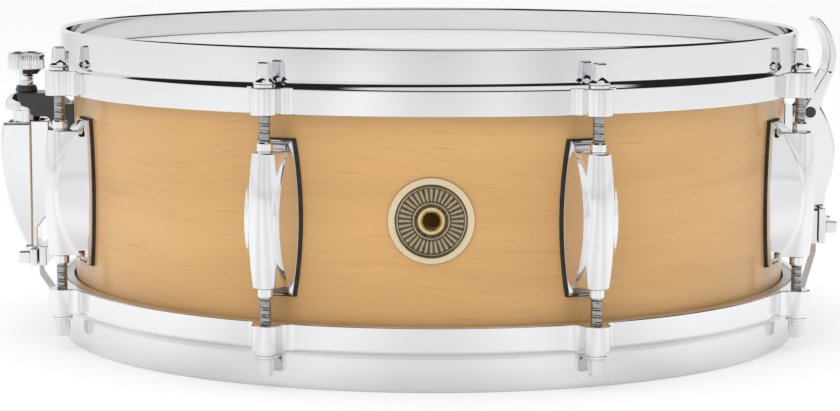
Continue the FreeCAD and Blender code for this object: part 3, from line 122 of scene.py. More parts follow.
# %% [markdown]
# ## Materials start from the shader's own sockets
# What is the same all over a surface, such as a metal's colour or the depth of a lacquer, is set on
# the shader itself.  Only what varies, such as grain, smudges and scratches, comes from textures.
# Every texture reads Object coordinates, so it stays on its piece when the piece moves.

# %% Material helpers
def new_finish(name, **sockets):
    """A material with these values on its shader, as (material, tree, shader)."""
    material = bpy.data.materials.new(name)
    material.use_nodes = True
    tree = material.node_tree
    shader = tree.nodes["Principled BSDF"]
    for key, number in sockets.items():
        shader.inputs[key.replace("_", " ")].default_value = number
    return material, tree, shader


def drive(shader, key, result):
    """Links a result to one of a shader's sockets."""
    shader.id_data.links.new(result, shader.inputs[key])


def local_place(tree):
    return put(tree, "ShaderNodeTexCoord")["Object"]


def stretched(tree, x=1, y=1, z=1):
    """Object coordinates, scaled along each axis."""
    return put(tree, "ShaderNodeMapping", {"Vector": local_place(tree), "Scale": (x, y, z)})[0]


def cloudy(tree, scale, detail=4.0, rough=0.55, vector=None):
    """A noise texture's grey value."""
    sockets = {"Vector": vector or stretched(tree), "Scale": scale, "Detail": detail, "Roughness": rough}
    return put(tree, "ShaderNodeTexNoise", sockets)["Fac"]


def ranged(tree, grey, low, high, start=0.0, end=1.0):
    """Maps a grey value from low...high to start...end."""
    sockets = {"Value": grey, "From Min": low, "From Max": high, "To Min": start, "To Max": end}
    return put(tree, "ShaderNodeMapRange", sockets)[0]


def blended(tree, share, first, second):
    """Mixes two colours by a share.  A Mix node keeps its colours in sockets 6 and 7 and result 2."""
    return put(tree, "ShaderNodeMix", {0: share, 6: first, 7: second}, data_type="RGBA")[2]


def bumped(tree, shader, height, strength, distance=0.0002):
    """Adds relief to a shader from a grey value."""
    sockets = {"Height": height, "Strength": strength, "Distance": distance}
    drive(shader, "Normal", put(tree, "ShaderNodeBump", sockets)[0])


def mottled(tree, scale, first, second, low=0.35, detail=4.0):
    """Two colours in clouds."""
    return blended(tree, ranged(tree, cloudy(tree, scale, detail), low, 0.7), (*first, 1), (*second, 1))


def worn(tree, shader, scale, detail, smooth, dull, low=0.3):
    """Clouds of smoother and duller surface."""
    drive(shader, "Roughness", ranged(tree, cloudy(tree, scale, detail), low, 0.7, smooth, dull))


# %% [markdown]
# ## Chrome
# Chrome plate is nearly white and shows what is around it.  A perfect mirror looks false, so faint
# smudges change its roughness, and a very low ripple bends the reflections as on a real casting.

# %% Chrome
def make_chrome(name, colour, smooth, dull, ripple):
    material, tree, shader = new_finish(name, Base_Color=colour, Metallic=1.0)
    worn(tree, shader, 55, 6, smooth, dull, low=0.35)
    bumped(tree, shader, cloudy(tree, 90, 2), ripple)
    return material


chrome = make_chrome("chrome", (0.82, 0.825, 0.84, 1), 0.035, 0.085, 0.02)
plated_steel = make_chrome("plated_steel", (0.42, 0.42, 0.42, 1), 0.20, 0.34, 0.08)
drawn_wire = make_chrome("drawn_wire", (0.66, 0.66, 0.67, 1), 0.18, 0.30, 0.05)
print("chrome ready")

# %% [markdown]
# ## Maple
# The outer ply's grain runs round the shell.  Noise has no direction, but squeezed hard along Z its
# blobs become long level streaks on every side, with no seam.  Three sizes are mixed: broad patches,
# growth rings, and fine short pores.

# %% Maple
maple, tree, shader = new_finish("maple", Roughness=0.42, Coat_Weight=0.45, Coat_Roughness=0.16)
warp = ranged(tree, cloudy(tree, 7, 2), 0.3, 0.7, -0.005, 0.005)
bent = reckon_vector(tree, "ADD", local_place(tree), vector(tree, Z=warp))[0]


def grain(x, z, scale, detail, rough):
    vector = put(tree, "ShaderNodeMapping", {"Vector": bent, "Scale": (x, x, z)})[0]
    return cloudy(tree, scale, detail, rough, vector)


patches = grain(1, 6, 5, 3, 0.5)
rings = grain(1, 30, 3.2, 5, 0.62)
fibres = grain(5, 260, 3.5, 3, 0.7)
pores = grain(16, 420, 3, 2, 0.6)
tone = blended(tree, ranged(tree, patches, 0.32, 0.68), (0.565, 0.300, 0.092, 1), (0.680, 0.390, 0.135, 1))
for streaks, low, high, most, colour in ((rings, 0.56, 0.72, 0.5, (0.48, 0.22, 0.055, 1)),
                                         (fibres, 0.35, 0.75, 0.22, (0.76, 0.48, 0.21, 1)),
                                         (pores, 0.62, 0.72, 0.35, (0.40, 0.17, 0.045, 1))):
    tone = blended(tree, ranged(tree, streaks, low, high, 0, most), tone, colour)
drive(shader, "Base Color", tone)
bumped(tree, shader, fibres, 0.06)
print("maple ready")

# %% [markdown]
# ## Films, rubber, paint, brass and ribbon
# The batter head is sprayed with a gritty white coating, and the snare side head is thinner and hazy.
# The gaskets are matt rubber, and the base at the butt end is painted black.  The badge is
# brass with a dark wash in its recess.

# %% The other finishes
coated_film, tree, shader = new_finish("coated_film", Roughness=0.55, Transmission_Weight=0.25, IOR=1.3)
drive(shader, "Base Color", mottled(tree, 18, (0.88, 0.88, 0.86), (0.94, 0.94, 0.925), low=0.3))
bumped(tree, shader, cloudy(tree, 2600, 3, 0.7), 0.25)

hazy_film, tree, shader = new_finish("hazy_film", Base_Color=(0.84, 0.84, 0.82, 1), Roughness=0.3,
                                     Transmission_Weight=0.6, IOR=1.3)
worn(tree, shader, 30, 5, 0.24, 0.4)

rubber, tree, shader = new_finish("gasket_rubber", Base_Color=(0.018, 0.018, 0.019, 1), Roughness=0.7)
drive(shader, "Base Color", mottled(tree, 400, (0.012, 0.012, 0.013), (0.035, 0.034, 0.034)))
bumped(tree, shader, cloudy(tree, 1800, 3), 0.3, 0.0003)

black_paint, tree, shader = new_finish("black_paint", Base_Color=(0.02, 0.02, 0.022, 1), Roughness=0.32,
                                       Coat_Weight=0.3, Coat_Roughness=0.12)
bumped(tree, shader, cloudy(tree, 900, 3), 0.12)
worn(tree, shader, 120, 4, 0.26, 0.42)

brass, tree, shader = new_finish("brass", Base_Color=(0.72, 0.56, 0.30, 1), Metallic=1.0)
worn(tree, shader, 300, 5, 0.2, 0.36)
drive(shader, "Base Color", mottled(tree, 240, (0.62, 0.47, 0.24), (0.80, 0.65, 0.38)))
bumped(tree, shader, cloudy(tree, 1500, 3), 0.03, 0.0001)

badge_brass, tree, shader = new_finish("badge_brass", Metallic=1.0, Roughness=0.34)
flat = reckon_vector(tree, "MULTIPLY", local_place(tree), (1, 1, 0))[0]
reach = reckon_vector(tree, "LENGTH", flat)["Value"]
raised = ranged(tree, reach, (SHELL + 0.62) * MM, (SHELL + 0.86) * MM)
stain = mottled(tree, 420, (0.070, 0.048, 0.030), (0.17, 0.125, 0.08), detail=5)
drive(shader, "Base Color", blended(tree, raised, stain, (0.78, 0.66, 0.44, 1)))
drive(shader, "Roughness", ranged(tree, raised, 0, 1, 0.5, 0.26))
bumped(tree, shader, cloudy(tree, 900, 3), 0.1)

rolled, tree, shader = new_finish("rolled_aluminium", Base_Color=(0.72, 0.72, 0.73, 1), Metallic=1.0)
drawn_lines = cloudy(tree, 12, 3, vector=stretched(tree, z=60))
drive(shader, "Roughness", ranged(tree, drawn_lines, 0.3, 0.7, 0.28, 0.42))

ribbon, tree, shader = new_finish("woven_ribbon", Roughness=0.7, Subsurface_Weight=0.6,
                                  Subsurface_Radius=(0.5, 0.5, 0.5), Subsurface_Scale=0.01)
threads = [put(tree, "ShaderNodeTexWave", {"Vector": stretched(tree, y=along), "Scale": 520.0},
               bands_direction=way)["Fac"] for along, way in ((1, "Y"), (0, "DIAGONAL"))]
weave = reckon(tree, "MULTIPLY", *threads)
drive(shader, "Base Color", blended(tree, weave, (0.84, 0.84, 0.83, 1), (0.96, 0.96, 0.95, 1)))
bumped(tree, shader, weave, 0.5)
print("materials:", len(bpy.data.materials))

# %% [markdown]
# ## From an outline to a mesh
# Most of the hardware was turned, cast or stamped, so its pieces start as flat outlines.  One helper
# rounds an outline's corners, because an edge with no radius catches no light.  Others turn an
# outline about an axis, join a row of sections, and push an outline to a thickness.

# %% Outline helpers
def polar(radius, turn, x=0.0, y=0.0):
    """A point at this radius and angle from (x, y)."""
    return (x + radius * math.cos(turn), y + radius * math.sin(turn))


def full_turn(steps):
    return [2 * math.pi * step / steps for step in range(steps)]


def softened(corners, steps=4):
    """A closed outline.  Each corner is (x, y), or (x, y, radius) to round it."""
    outline = []
    for index, corner in enumerate(corners):
        here = Vector(corner[:2])
        if len(corner) == 2:
            outline.append(here)
            continue
        radius = corner[2]
        back = (Vector(corners[index - 1][:2]) - here).normalized()
        ahead = (Vector(corners[(index + 1) % len(corners)][:2]) - here).normalized()
        half = back.angle(ahead) / 2
        centre = here + (back + ahead).normalized() * radius / math.sin(half)
        start, end = (here + way * radius / math.tan(half) - centre for way in (back, ahead))
        outline += [centre + start.lerp(end, step / steps).normalized() * radius
                    for step in range(steps + 1)]
    return outline


def bowed(start, end, radius, side, steps=16):
    """Points on an arc, without its end.  Side 1 bulges to the right of the way along it."""
    start, end = Vector(start), Vector(end)
    chord = end - start
    left = Vector((-chord.y, chord.x)).normalized()
    centre = (start + end) / 2 + left * side * math.sqrt(radius ** 2 - chord.length ** 2 / 4)
    sweep = (start - centre).angle_signed(end - centre)
    return [centre + Matrix.Rotation(-sweep * step / steps, 2) @ (start - centre) for step in range(steps)]


def off_shell(points, side=1):
    """Turns (reach off the shell, height above its middle, ...) into (x, z, ...)."""
    return [(side * (SHELL + reach), MIDDLE + height, *radius) for reach, height, *radius in points]


def as_object(name, shape):
    mesh = bpy.data.meshes.new(name)
    shape.to_mesh(mesh)
    shape.free()
    return placed(name, mesh)


def new_piece(name, shape):
    """A Blender object from a bmesh, with faces that point outwards."""
    bmesh.ops.remove_doubles(shape, verts=shape.verts, dist=1e-7)
    bmesh.ops.dissolve_degenerate(shape, edges=shape.edges, dist=1e-8)
    bmesh.ops.recalc_face_normals(shape, faces=shape.faces)
    return as_object(name, shape)


def lofted(name, sections, closed=False):
    """Joins sections that have the same number of points, in millimetres.  Open rows get flat ends."""
    shape = bmesh.new()
    rows = [[shape.verts.new(Vector(point) * MM) for point in section] for section in sections]
    for first, second in zip(rows, rows[1:] + rows[:1] if closed else rows[1:]):
        for index in range(len(first)):
            shape.faces.new((first[index - 1], first[index], second[index], second[index - 1]))
    if not closed:
        shape.faces.new(rows[0])
        shape.faces.new(rows[-1])
    return new_piece(name, shape)


def lathed(name, outline, steps=192, across=0.0):
    """Turns an outline of (radius, height) about a vertical axis that stands at X = across."""
    return lofted(name, [[(*polar(radius, turn, across), height) for radius, height in outline]
                         for turn in full_turn(steps)], closed=True)


def settle(piece):
    """Turns what the modifiers show into the piece's plain mesh."""
    graph = bpy.context.evaluated_depsgraph_get()
    mesh = bpy.data.meshes.new_from_object(piece.evaluated_get(graph), depsgraph=graph)
    piece.modifiers.clear()
    piece.data = mesh


def slab(name, outline, low, high, bevel=0.0, axis="Y", segments=3):
    """Pushes an outline of (x, z), or (x, y) for axis Z, from low to high and rounds its edges."""
    piece = lofted(name, [[(x, level, y) if axis == "Y" else (x, y, level) for x, y in outline]
                          for level in (low, high)])
    if bevel:
        round_edges = piece.modifiers.new("round_edges", "BEVEL")
        round_edges.width = bevel * MM
        round_edges.segments = segments
        round_edges.limit_method = "ANGLE"
        round_edges.angle_limit = math.radians(40)
        round_edges.harden_normals = True
        settle(piece)
    return piece


def carve(piece, *cutters, use_self=False):
    """Cuts other pieces out of a piece and removes them.  One made of overlapping parts needs use_self."""
    for cutter in cutters:
        cut = piece.modifiers.new("carve", "BOOLEAN")
        cut.object, cut.operation, cut.solver, cut.use_self = cutter, "DIFFERENCE", "EXACT", use_self
        settle(piece)
        bpy.data.objects.remove(cutter)


# %% [markdown]
# ## Hanging a piece on the drum
# A finished mesh gets its material, smooth shading up to a chosen angle and the working body that it
# moves with, and the nodes that it stands for are hidden.

# %% Finishing helpers
def hang(piece, body, nodes=(), material=chrome, smooth=32):
    """Finishes a piece, which is smooth up to an angle in degrees."""
    piece.data.materials.clear()
    piece.data.materials.append(material)
    piece.data.shade_smooth()
    piece.data.set_sharp_from_angle(angle=math.radians(smooth))
    piece.modifiers.new("flat_faces_stay_flat", "WEIGHTED_NORMAL").keep_sharp = True
    settle(piece)
    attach(piece, body)
    if nodes:
        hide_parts(*nodes)
    print(f"{piece.name}: {len(piece.data.polygons)} faces on {body}")
    return piece


def joined(name, pieces):
    """Several pieces as one mesh."""
    shape = bmesh.new()
    for piece in pieces:
        shape.from_mesh(piece.data)
        bpy.data.objects.remove(piece)
    return as_object(name, shape)


def moved(piece, matrix):
    """Moves a piece's mesh and leaves its object at the origin."""
    piece.data.transform(matrix)
    return piece


UPSIDE_DOWN = shift(0, 0, MIDDLE) @ turned(180, "X") @ shift(0, 0, -MIDDLE)

# %% [markdown]
# ## A tree that repeats a piece round the drum
# Ears, lugs and swivel nuts stand on circles about the axis.  One Geometry Nodes tree makes a point
# for each, turns a copy of the piece by its index, and makes the copies real, because an exported
# model keeps only real faces.

# %% The ring tree
def tree_with(name, **inputs):
    """A Geometry Nodes tree with these inputs and a material, as (tree, its inputs)."""
    tree = bpy.data.node_groups.new(name, "GeometryNodeTree")
    tree.interface.new_socket(name="Geometry", in_out="OUTPUT", socket_type="NodeSocketGeometry")
    for label, kind in (*inputs.items(), ("Finish", "Material")):
        tree.interface.new_socket(name=label, in_out="INPUT", socket_type=f"NodeSocket{kind}")
    return tree, tree.nodes.new("NodeGroupInput").outputs


def copies(tree, piece, count, position, rotation=(0, 0, 0)):
    """A copy of a piece at each of some points."""
    spots = put(tree, "GeometryNodePoints", {"Count": count, "Position": position})[0]
    return put(tree, "GeometryNodeInstanceOnPoints", {
        "Points": spots, "Instance": piece, "Rotation": rotation})[0]


def end_tree(tree, given, geometry):
    """Makes a tree's copies real, gives them its material and closes it."""
    real = put(tree, "GeometryNodeRealizeInstances", {"Geometry": geometry})[0]
    set_finish = put(tree, "GeometryNodeSetMaterial", {"Geometry": real, "Material": given["Finish"]})[0]
    put(tree, "NodeGroupOutput", {"Geometry": set_finish})


def grown(name, tree, **values):
    """Runs a tree on an empty mesh and keeps the result as a plain mesh."""
    piece = placed(name, bpy.data.meshes.new(name))
    modifier = piece.modifiers.new("nodes", "NODES")
    modifier.node_group = tree
    for item in tree.interface.items_tree:
        if item.in_out == "INPUT":
            modifier[item.identifier] = values[item.name]
    settle(piece)
    return piece


ring_tree, given = tree_with("repeat_round_axis", Piece="Object", Copies="Int", First="Float", Across="Float")
source = put(ring_tree, "GeometryNodeObjectInfo", {"Object": given["Piece"]})["Geometry"]
step = reckon(ring_tree, "DIVIDE", 2 * math.pi, given["Copies"])
index = put(ring_tree, "GeometryNodeInputIndex")[0]
turn = reckon(ring_tree, "MULTIPLY_ADD", index, step, given["First"])
stand = vector(ring_tree, X=given["Across"])
end_tree(ring_tree, given, copies(ring_tree, source, given["Copies"], stand, vector(ring_tree, Z=turn)))
print("ring tree:", len(ring_tree.nodes), "nodes")


def ring_of(name, piece, material):
    """Repeats a piece, drawn about the drum's axis, for each lug, and removes the original."""
    whole = grown(name, ring_tree, Piece=piece, Copies=LUGS, First=FIRST_LUG, Across=0.0, Finish=material)
    bpy.data.objects.remove(piece)
    return whole


# %% [markdown]
# ## The maple shell
# A drum shell is a plain tube, but its edges matter: each is cut at a slope to the bearing edge that
# the head sits on.  It could be a cylinder with a bevel; turning its section gives the true edge.

# %% Shell
WALL_INSIDE = SHELL - 5.6
PEAK = SHELL - 1.6
EDGE_DROP = 2.3
VENT_HOLE = 4.9
shell_outline = softened([
    (WALL_INSIDE, LOWER_EDGE + EDGE_DROP, 0.4), (PEAK, LOWER_EDGE, 0.4), (SHELL, LOWER_EDGE + 1.4, 0.8),
    (SHELL, UPPER_EDGE - 1.4, 0.8), (PEAK, UPPER_EDGE, 0.4), (WALL_INSIDE, UPPER_EDGE - EDGE_DROP, 0.4)])
maple_shell = lathed("maple_shell", shell_outline, 256)
drill = lathed("drill", [(0, SHELL - 12), (VENT_HOLE, SHELL - 12), (VENT_HOLE, SHELL + 5), (0, SHELL + 5)], 48)
carve(maple_shell, moved(drill, shift(0, 0, MIDDLE) @ turned(90, "X")))
hang(maple_shell, "drum", ["shell"], maple)

# %% [markdown]
# ## Die-cast hoops
# The hoop's section has a tall collar, a short shoulder and a skirt.  The hollow where the collar
# meets the shoulder and the skirt's upper edge both have a small radius: in chrome they show as two
# dark lines round the drum, so they are worth more points than the flat walls.

# %% Hoop section, turned about the axis
COLLAR_IN = SHELL + 3.3
COLLAR_OUT = COLLAR_IN + 2.8
SKIRT_IN = SHELL + 5.6
SKIRT_OUT = SHELL + 8.6
LEDGE = UPPER_EDGE - 7.9
SKIRT_LOW = UPPER_EDGE - 17.1
SKIRT_TOP = UPPER_EDGE - 5.8
RIM = UPPER_EDGE + LOWER_EDGE
EAR_TOP = UPPER_EDGE - 5.1
hoop_outline = softened([
    (COLLAR_IN, LEDGE, 0.3), (SKIRT_IN, LEDGE, 0.3), (SKIRT_IN, SKIRT_LOW, 0.5), (SKIRT_OUT, SKIRT_LOW, 0.6),
    (SKIRT_OUT, SKIRT_TOP, 1.5), (COLLAR_OUT, UPPER_EDGE - 3.6, 3.6), (COLLAR_OUT, RIM, 1.3),
    (COLLAR_IN, RIM, 1.3)], 6)
ring = lathed("ring", hoop_outline, 256)
print("hoop section points:", len(hoop_outline))

# %% [markdown]
# Each ear is a round boss that flows into the skirt through a hollow fillet on both sides.  Its
# outline is three arcs: the nose, and a fillet each side that is tangent to the nose and the skirt.

# %% Ears
NOSE = 6.6
FILLET = 5.0
ARC_STEPS = 12
hollow = SKIRT_OUT + FILLET
swing = NOSE + FILLET
fillet_x = (hollow ** 2 - swing ** 2 + ROD_CIRCLE ** 2) / (2 * ROD_CIRCLE)
fillet_y = math.sqrt(hollow ** 2 - fillet_x ** 2)
touch = (fillet_x * SKIRT_OUT / hollow, fillet_y * SKIRT_OUT / hollow)
lean = math.atan2(fillet_y, fillet_x - ROD_CIRCLE)
start_lean = math.atan2(touch[1] - fillet_y, touch[0] - fillet_x)
end_lean = lean - math.pi
half = [polar(FILLET, start_lean + (end_lean - start_lean) * step / ARC_STEPS, fillet_x, fillet_y)
        for step in range(ARC_STEPS + 1)]
half += [polar(NOSE, lean * (1 - step / ARC_STEPS), ROD_CIRCLE) for step in range(1, ARC_STEPS + 1)]
root = SKIRT_OUT - 1.5
ear_outline = [(root, touch[1]), *half, *((x, -y) for x, y in reversed(half[:-1])), (root, -touch[1])]
ear = slab("ear", ear_outline, SKIRT_LOW, EAR_TOP, 0.55, axis="Z")
batter_hoop = joined("batter_hoop_casting", [ring, ring_of("ears", ear, chrome)])
plain_hoop = batter_hoop.data.copy()
hang(batter_hoop, "batter_hoop", ["batter_hoop"])

# %% [markdown]
# The lower hoop is the same casting turned over, with a gate cut through its rim at each side for
# the snare straps.  A Boolean with a rounded block is the plainest way to cut it.

# %% Lower hoop with its gates
GATE_HALF = 25
GATE_TOP = 11
lower_hoop = moved(placed("snare_side_hoop_casting", plain_hoop), UPSIDE_DOWN)
gate = softened([(-GATE_HALF, -6), (GATE_HALF, -6), (GATE_HALF, GATE_TOP, 3), (-GATE_HALF, GATE_TOP, 3)])
cutter = slab("gate_cutter", [(-y, z) for y, z in gate], -COLLAR_OUT - 1, COLLAR_OUT + 1)
carve(lower_hoop, moved(cutter, turned(90, "Z")), use_self=True)
hang(lower_hoop, "snare_side_hoop", ["snare_side_hoop"])

# %% [markdown]
# ## Heads and flesh hoops
# The films are flat and thin, and the metal channels that grip them are hidden between hoop and
# shell, so both keep their working shapes and only need their own finish.

# %% Finishes for pieces that keep their working shape
for material, nodes in (
        (coated_film, ["batter_head"]), (hazy_film, ["snare_side_head"]),
        (rolled, ["batter_flesh_hoop", "snare_side_flesh_hoop"]),
        (rubber, ["lug_gaskets", "throwoff_gasket", "butt_gasket"]), (chrome, ["throwoff_slide"]),
        (plated_steel, ["nut_springs", "lug_screws", "lug_screw_washers", "strainer_screws",
                        "throwoff_lever_shaft"])):
    for node in nodes:
        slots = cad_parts[node].material_slots
        if not slots:
            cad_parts[node].data.materials.append(material)
        for each in slots:
            each.material = material

# %% [markdown]
# ## Lugs
# A lug joins the two ends of the drum: a swivel nut sits in each end of its spindle.  The casting
# is a bellied spindle that flows through a hollow curve into a wing on each side, and each wing's
# ridge is drawn like a bow.  A shape that follows a rule is better reckoned than pushed by hand:
# one half section is worked out for each height, and the sections are joined.

# %% Lug sizes
LUG_HALF = 30.0
FOOT_HALF = 34.5
FOOT_BACK = -12.0
FOOT_FRONT = -10.4
SPINDLE_RADIUS = 7.8
SPINDLE_TAPER = 1.9
RIDGE_OUT = 3.73
RIDGE_BOW = 10.6
RIDGE_ACROSS = 8.47
HOLLOW = math.radians(8)


def eased(low, high, amount):
    share = min(max((amount - low) / (high - low), 0), 1)
    return share * share * (3 - 2 * share)


def blend(first, second, share):
    return first + (second - first) * share


def foot_width(height):
    """Half the foot's width."""
    return 11.2 - 3.1 * (height / FOOT_HALF) ** 2


def mirrored(half):
    """A half section and its mirror image, as one row."""
    return half + [(out, -across) for out, across in reversed(half[1:])]


def bezier(start, first, second, end, steps):
    """Points on a curve between start and end, without those two."""
    points = []
    for step in range(1, steps):
        share = step / steps
        rest = 1 - share
        points.append(tuple(rest ** 3 * a + 3 * rest * rest * share * b + 3 * rest * share * share * c
                            + share ** 3 * d for a, b, c, d in zip(start, first, second, end)))
    return points


def wing_face(ridge, height):
    """From a wing's ridge down to the foot's edge: straight at the middle, scooped at the ends."""
    edge = (FOOT_FRONT, foot_width(height) - 0.1)
    scoop = eased(26, 34, abs(height))
    slope = (edge[1] - ridge[1]) / (edge[0] - ridge[0])
    handles = []
    for share, scooped in ((0.55, 5.9), (0.95, 6.6)):
        out = blend(ridge[0], FOOT_FRONT, share)
        handles.append((out, blend(ridge[1] + slope * (out - ridge[0]), scooped, scoop)))
    return bezier(ridge, *handles, edge, 9) + [edge]


def lug_half_section(height):
    """Points (outwards from the rod, sideways) from the lug's front to its back."""
    away = height / LUG_HALF
    radius = SPINDLE_RADIUS - SPINDLE_TAPER * away ** 2
    ridge = (RIDGE_OUT - RIDGE_BOW * away ** 2, RIDGE_ACROSS - 0.5 * away ** 2)
    leave = math.atan2(ridge[1], ridge[0]) - math.acos(radius / math.hypot(*ridge))
    start, end = leave + HOLLOW, leave - HOLLOW
    points = [polar(radius, start * step / 10) for step in range(11)]
    land = points[-1]
    handle = math.dist(land, ridge) / 3
    first = (land[0] - handle * math.sin(start), land[1] + handle * math.cos(start))
    second = (ridge[0] + handle * math.sin(end), ridge[1] - handle * math.cos(end))
    flute = 0.3 * (1 - eased(3, 17, abs(height)))
    for step, (out, across) in enumerate(bezier(land, first, second, ridge, 10), 1):
        dent = flute * math.exp(-((step - 3) / 1.6) ** 2)
        points.append((out - dent * math.cos(leave), across - dent * math.sin(leave)))
    points += [(*ridge, 0.45), *wing_face(ridge, height)]
    points.append((FOOT_BACK + 0.6, points[-1][1]))
    return softened(points, 3)


def lug_section(height, inset=0.0):
    """A whole section, drawn in by inset to round the spindle's end."""
    ring_points = []
    for out, across in mirrored(lug_half_section(height)):
        pull = inset / math.hypot(out + 4, across)
        ring_points.append((ROD_CIRCLE + out - (out + 4) * pull, across * (1 - pull), MIDDLE + height))
    return ring_points


rows = [((LUG_HALF - 0.5) * math.sin(math.pi * step / 72), 0) for step in range(-36, 37)]
rows = [(-LUG_HALF, 0.4), (-LUG_HALF + 0.12, 0.12), *rows, (LUG_HALF - 0.12, 0.12), (LUG_HALF, 0.4)]
sections = [lug_section(height, inset) for height, inset in rows]
spindle_and_wings = lofted("spindle_and_wings", sections)
print("points in a lug section:", len(sections[0]), "sections:", len(sections))

# %% [markdown]
# At each end the casting slopes down from the wings to the foot, and the foot itself is a bowed
# plate that is hollowed to sit on the gasket.  Both are sections again, with a small chamfer where
# a mould would leave one.

# %% Lug's end slopes and foot
SLOPE_LOW = 29
SLOPE_LONG = 5.2
CHAMFER = 0.35


def slope_section(height, end):
    """The sloped block between the wings' ends and the foot's end."""
    front = -6.9 - max(height - LUG_HALF, 0)
    wide = blend(7.9, 6.7, (height - SLOPE_LOW) / SLOPE_LONG)
    half = [(front + 0.3, 0), (front + 0.3, wide - 0.5), (front, wide), *wing_face((front, wide), height)]
    half.append((FOOT_BACK + 0.6, half[-1][1]))
    return [(ROD_CIRCLE + out, across, MIDDLE + end * height) for out, across in mirrored(half)]


slopes = [lofted("end_slope", [slope_section(SLOPE_LOW + SLOPE_LONG * step / 10, end) for step in range(11)])
          for end in (-1, 1)]
foot_sections = []
for step in range(-24, 25):
    height = FOOT_HALF * step / 24
    wide = foot_width(height)
    front = ROD_CIRCLE + FOOT_FRONT - (CHAMFER if abs(step) == 24 else 0)
    section = [(front - CHAMFER, -wide),
               *((front, (wide - CHAMFER) * share) for share in (-1, -0.5, 0, 0.5, 1)),
               (front - CHAMFER, wide)]
    section += [(math.sqrt((SHELL + 1.5) ** 2 - (wide * share) ** 2), wide * share)
                for share in (1, 0.5, 0, -0.5, -1)]
    foot_sections.append([(out, across, MIDDLE + height) for out, across in section])
one_lug = joined("one_lug", [spindle_and_wings, lofted("foot", foot_sections), *slopes])
lugs = ring_of("lug_castings", one_lug, chrome)
hang(lugs, "drum", [f"lug_{number}" for number in range(1, LUGS + 1)], smooth=34)

# %% [markdown]
# ## Swivel nuts and washers
# The nut's collar stands out of each end of the lug, and a washer lies on each ear.  Both are turned
# pieces, repeated by the ring tree; the lower ones are the upper ones turned over.  The collar has a
# narrow neck, so that a dark line shows where it leaves the casting.

# %% Swivel nuts and washers
WASHER_TOP = EAR_TOP + 1.7
end = MIDDLE + LUG_HALF
nut_outline = softened([
    (2.8, end - 4), (3.1, end - 4), (3.1, end + 0.35), (3.6, end + 0.6, 0.2), (3.6, end + 3.9, 0.25),
    (3.1, end + 4.6, 0.2), (2.8, end + 4.6)])
washer_outline = softened([
    (2.95, EAR_TOP), (4.75, EAR_TOP, 0.35), (4.75, WASHER_TOP, 0.35), (2.95, WASHER_TOP)])
nuts = [ring_of("nuts", lathed("nut", nut_outline, 32, ROD_CIRCLE), chrome) for _ in range(2)]
moved(nuts[1], UPSIDE_DOWN)
hang(joined("swivel_nut_collars", nuts), "drum", ["swivel_nuts"])
for side, place in (("batter", Matrix()), ("snare_side", UPSIDE_DOWN)):
    washers = ring_of(f"{side}_washers", lathed("washer", washer_outline, 40, ROD_CIRCLE), chrome)
    hang(moved(washers, place), f"{side}_hoop", [f"{side}_rod_washers"])

# %% [markdown]
# ## Tension rods
# Each rod is a 12-24 screw with a square head for a drum key.  A thread is a ridge that follows a
# helix, so a small Geometry Nodes tree sweeps a four-sided profile along a spiral and joins it to
# the core.  It makes one thread, which all sixteen rods share, each moved to its own place.

# %% The thread tree
ROD_LENGTH = 50.0
tree, given = tree_with("thread_on_core", Length="Float", Pitch="Float", Core="Float", Ridge="Float")
length, core = given["Length"], given["Core"]


def coiled(tree, length, steps, turns, radius, sides, wire, caps=False):
    """A wire wound round the Z axis."""
    spiral = put(tree, "GeometryNodeCurveSpiral", {
        "Resolution": steps, "Rotations": turns, "Start Radius": radius, "End Radius": radius,
        "Height": length})[0]
    profile = put(tree, "GeometryNodeCurvePrimitiveCircle", {"Resolution": sides, "Radius": wire})[0]
    return put(tree, "GeometryNodeCurveToMesh",
               {"Curve": spiral, "Profile Curve": profile, "Fill Caps": caps})[0]


turns = reckon(tree, "DIVIDE", length, given["Pitch"])
thread = coiled(tree, length, 18, turns, core, 4, given["Ridge"], True)
bar = put(tree, "GeometryNodeMeshCylinder", {"Vertices": 24, "Radius": core, "Depth": length})[0]
lift = vector(tree, Z=reckon(tree, "MULTIPLY", length, 0.5))
bar = put(tree, "GeometryNodeTransform", {"Geometry": bar, "Translation": lift})[0]
end_tree(tree, given, put(tree, "GeometryNodeJoinGeometry", {0: [thread, bar]})[0])
thread_mesh = grown("rod_thread", tree, Length=(ROD_LENGTH - 0.5) * MM, Pitch=1.058 * MM,
                    Core=2.36 * MM, Ridge=0.37 * MM, Finish=plated_steel)
moved(thread_mesh, shift(ROD_CIRCLE, 0, WASHER_TOP - ROD_LENGTH))
print("thread faces:", len(thread_mesh.data.polygons))

# %% [markdown]
# The head is milled square from a round bar above a coned collar.  Each section takes whichever
# reaches farther, the cone or the square, so each flat ends in a small arch.

# %% Rod head
def head_section(height, square, cone=1.0, trim=1.0):
    """Across the head: half the square's width, the cone's radius, and a share to draw both in."""
    points = []
    for turn in full_turn(48):
        flat = (turn + math.pi / 4) % (math.pi / 2) - math.pi / 4
        reach = max(min(square / math.cos(flat), square * 1.27), cone) * trim
        points.append((*polar(reach, turn, ROD_CIRCLE), WASHER_TOP + height))
    return points


head_mesh = lofted("rod_head", [head_section(*row) for row in (
    (0.0, 3.0, 4.7), (0.25, 3.0, 4.95), (0.85, 3.0, 4.95), (1.1, 3.0, 4.75), (1.5, 3.05, 4.2),
    (1.9, 3.05, 3.8), (2.4, 3.05, 3.5), (3.0, 3.03, 3.25), (3.8, 3.0, 3.05), (5.2, 2.9), (7.0, 2.75),
    (8.6, 2.62), (9.1, 2.52), (9.45, 2.4, 1, 0.93), (9.63, 2.4, 1, 0.78), (9.7, 2.4, 1, 0.55))])

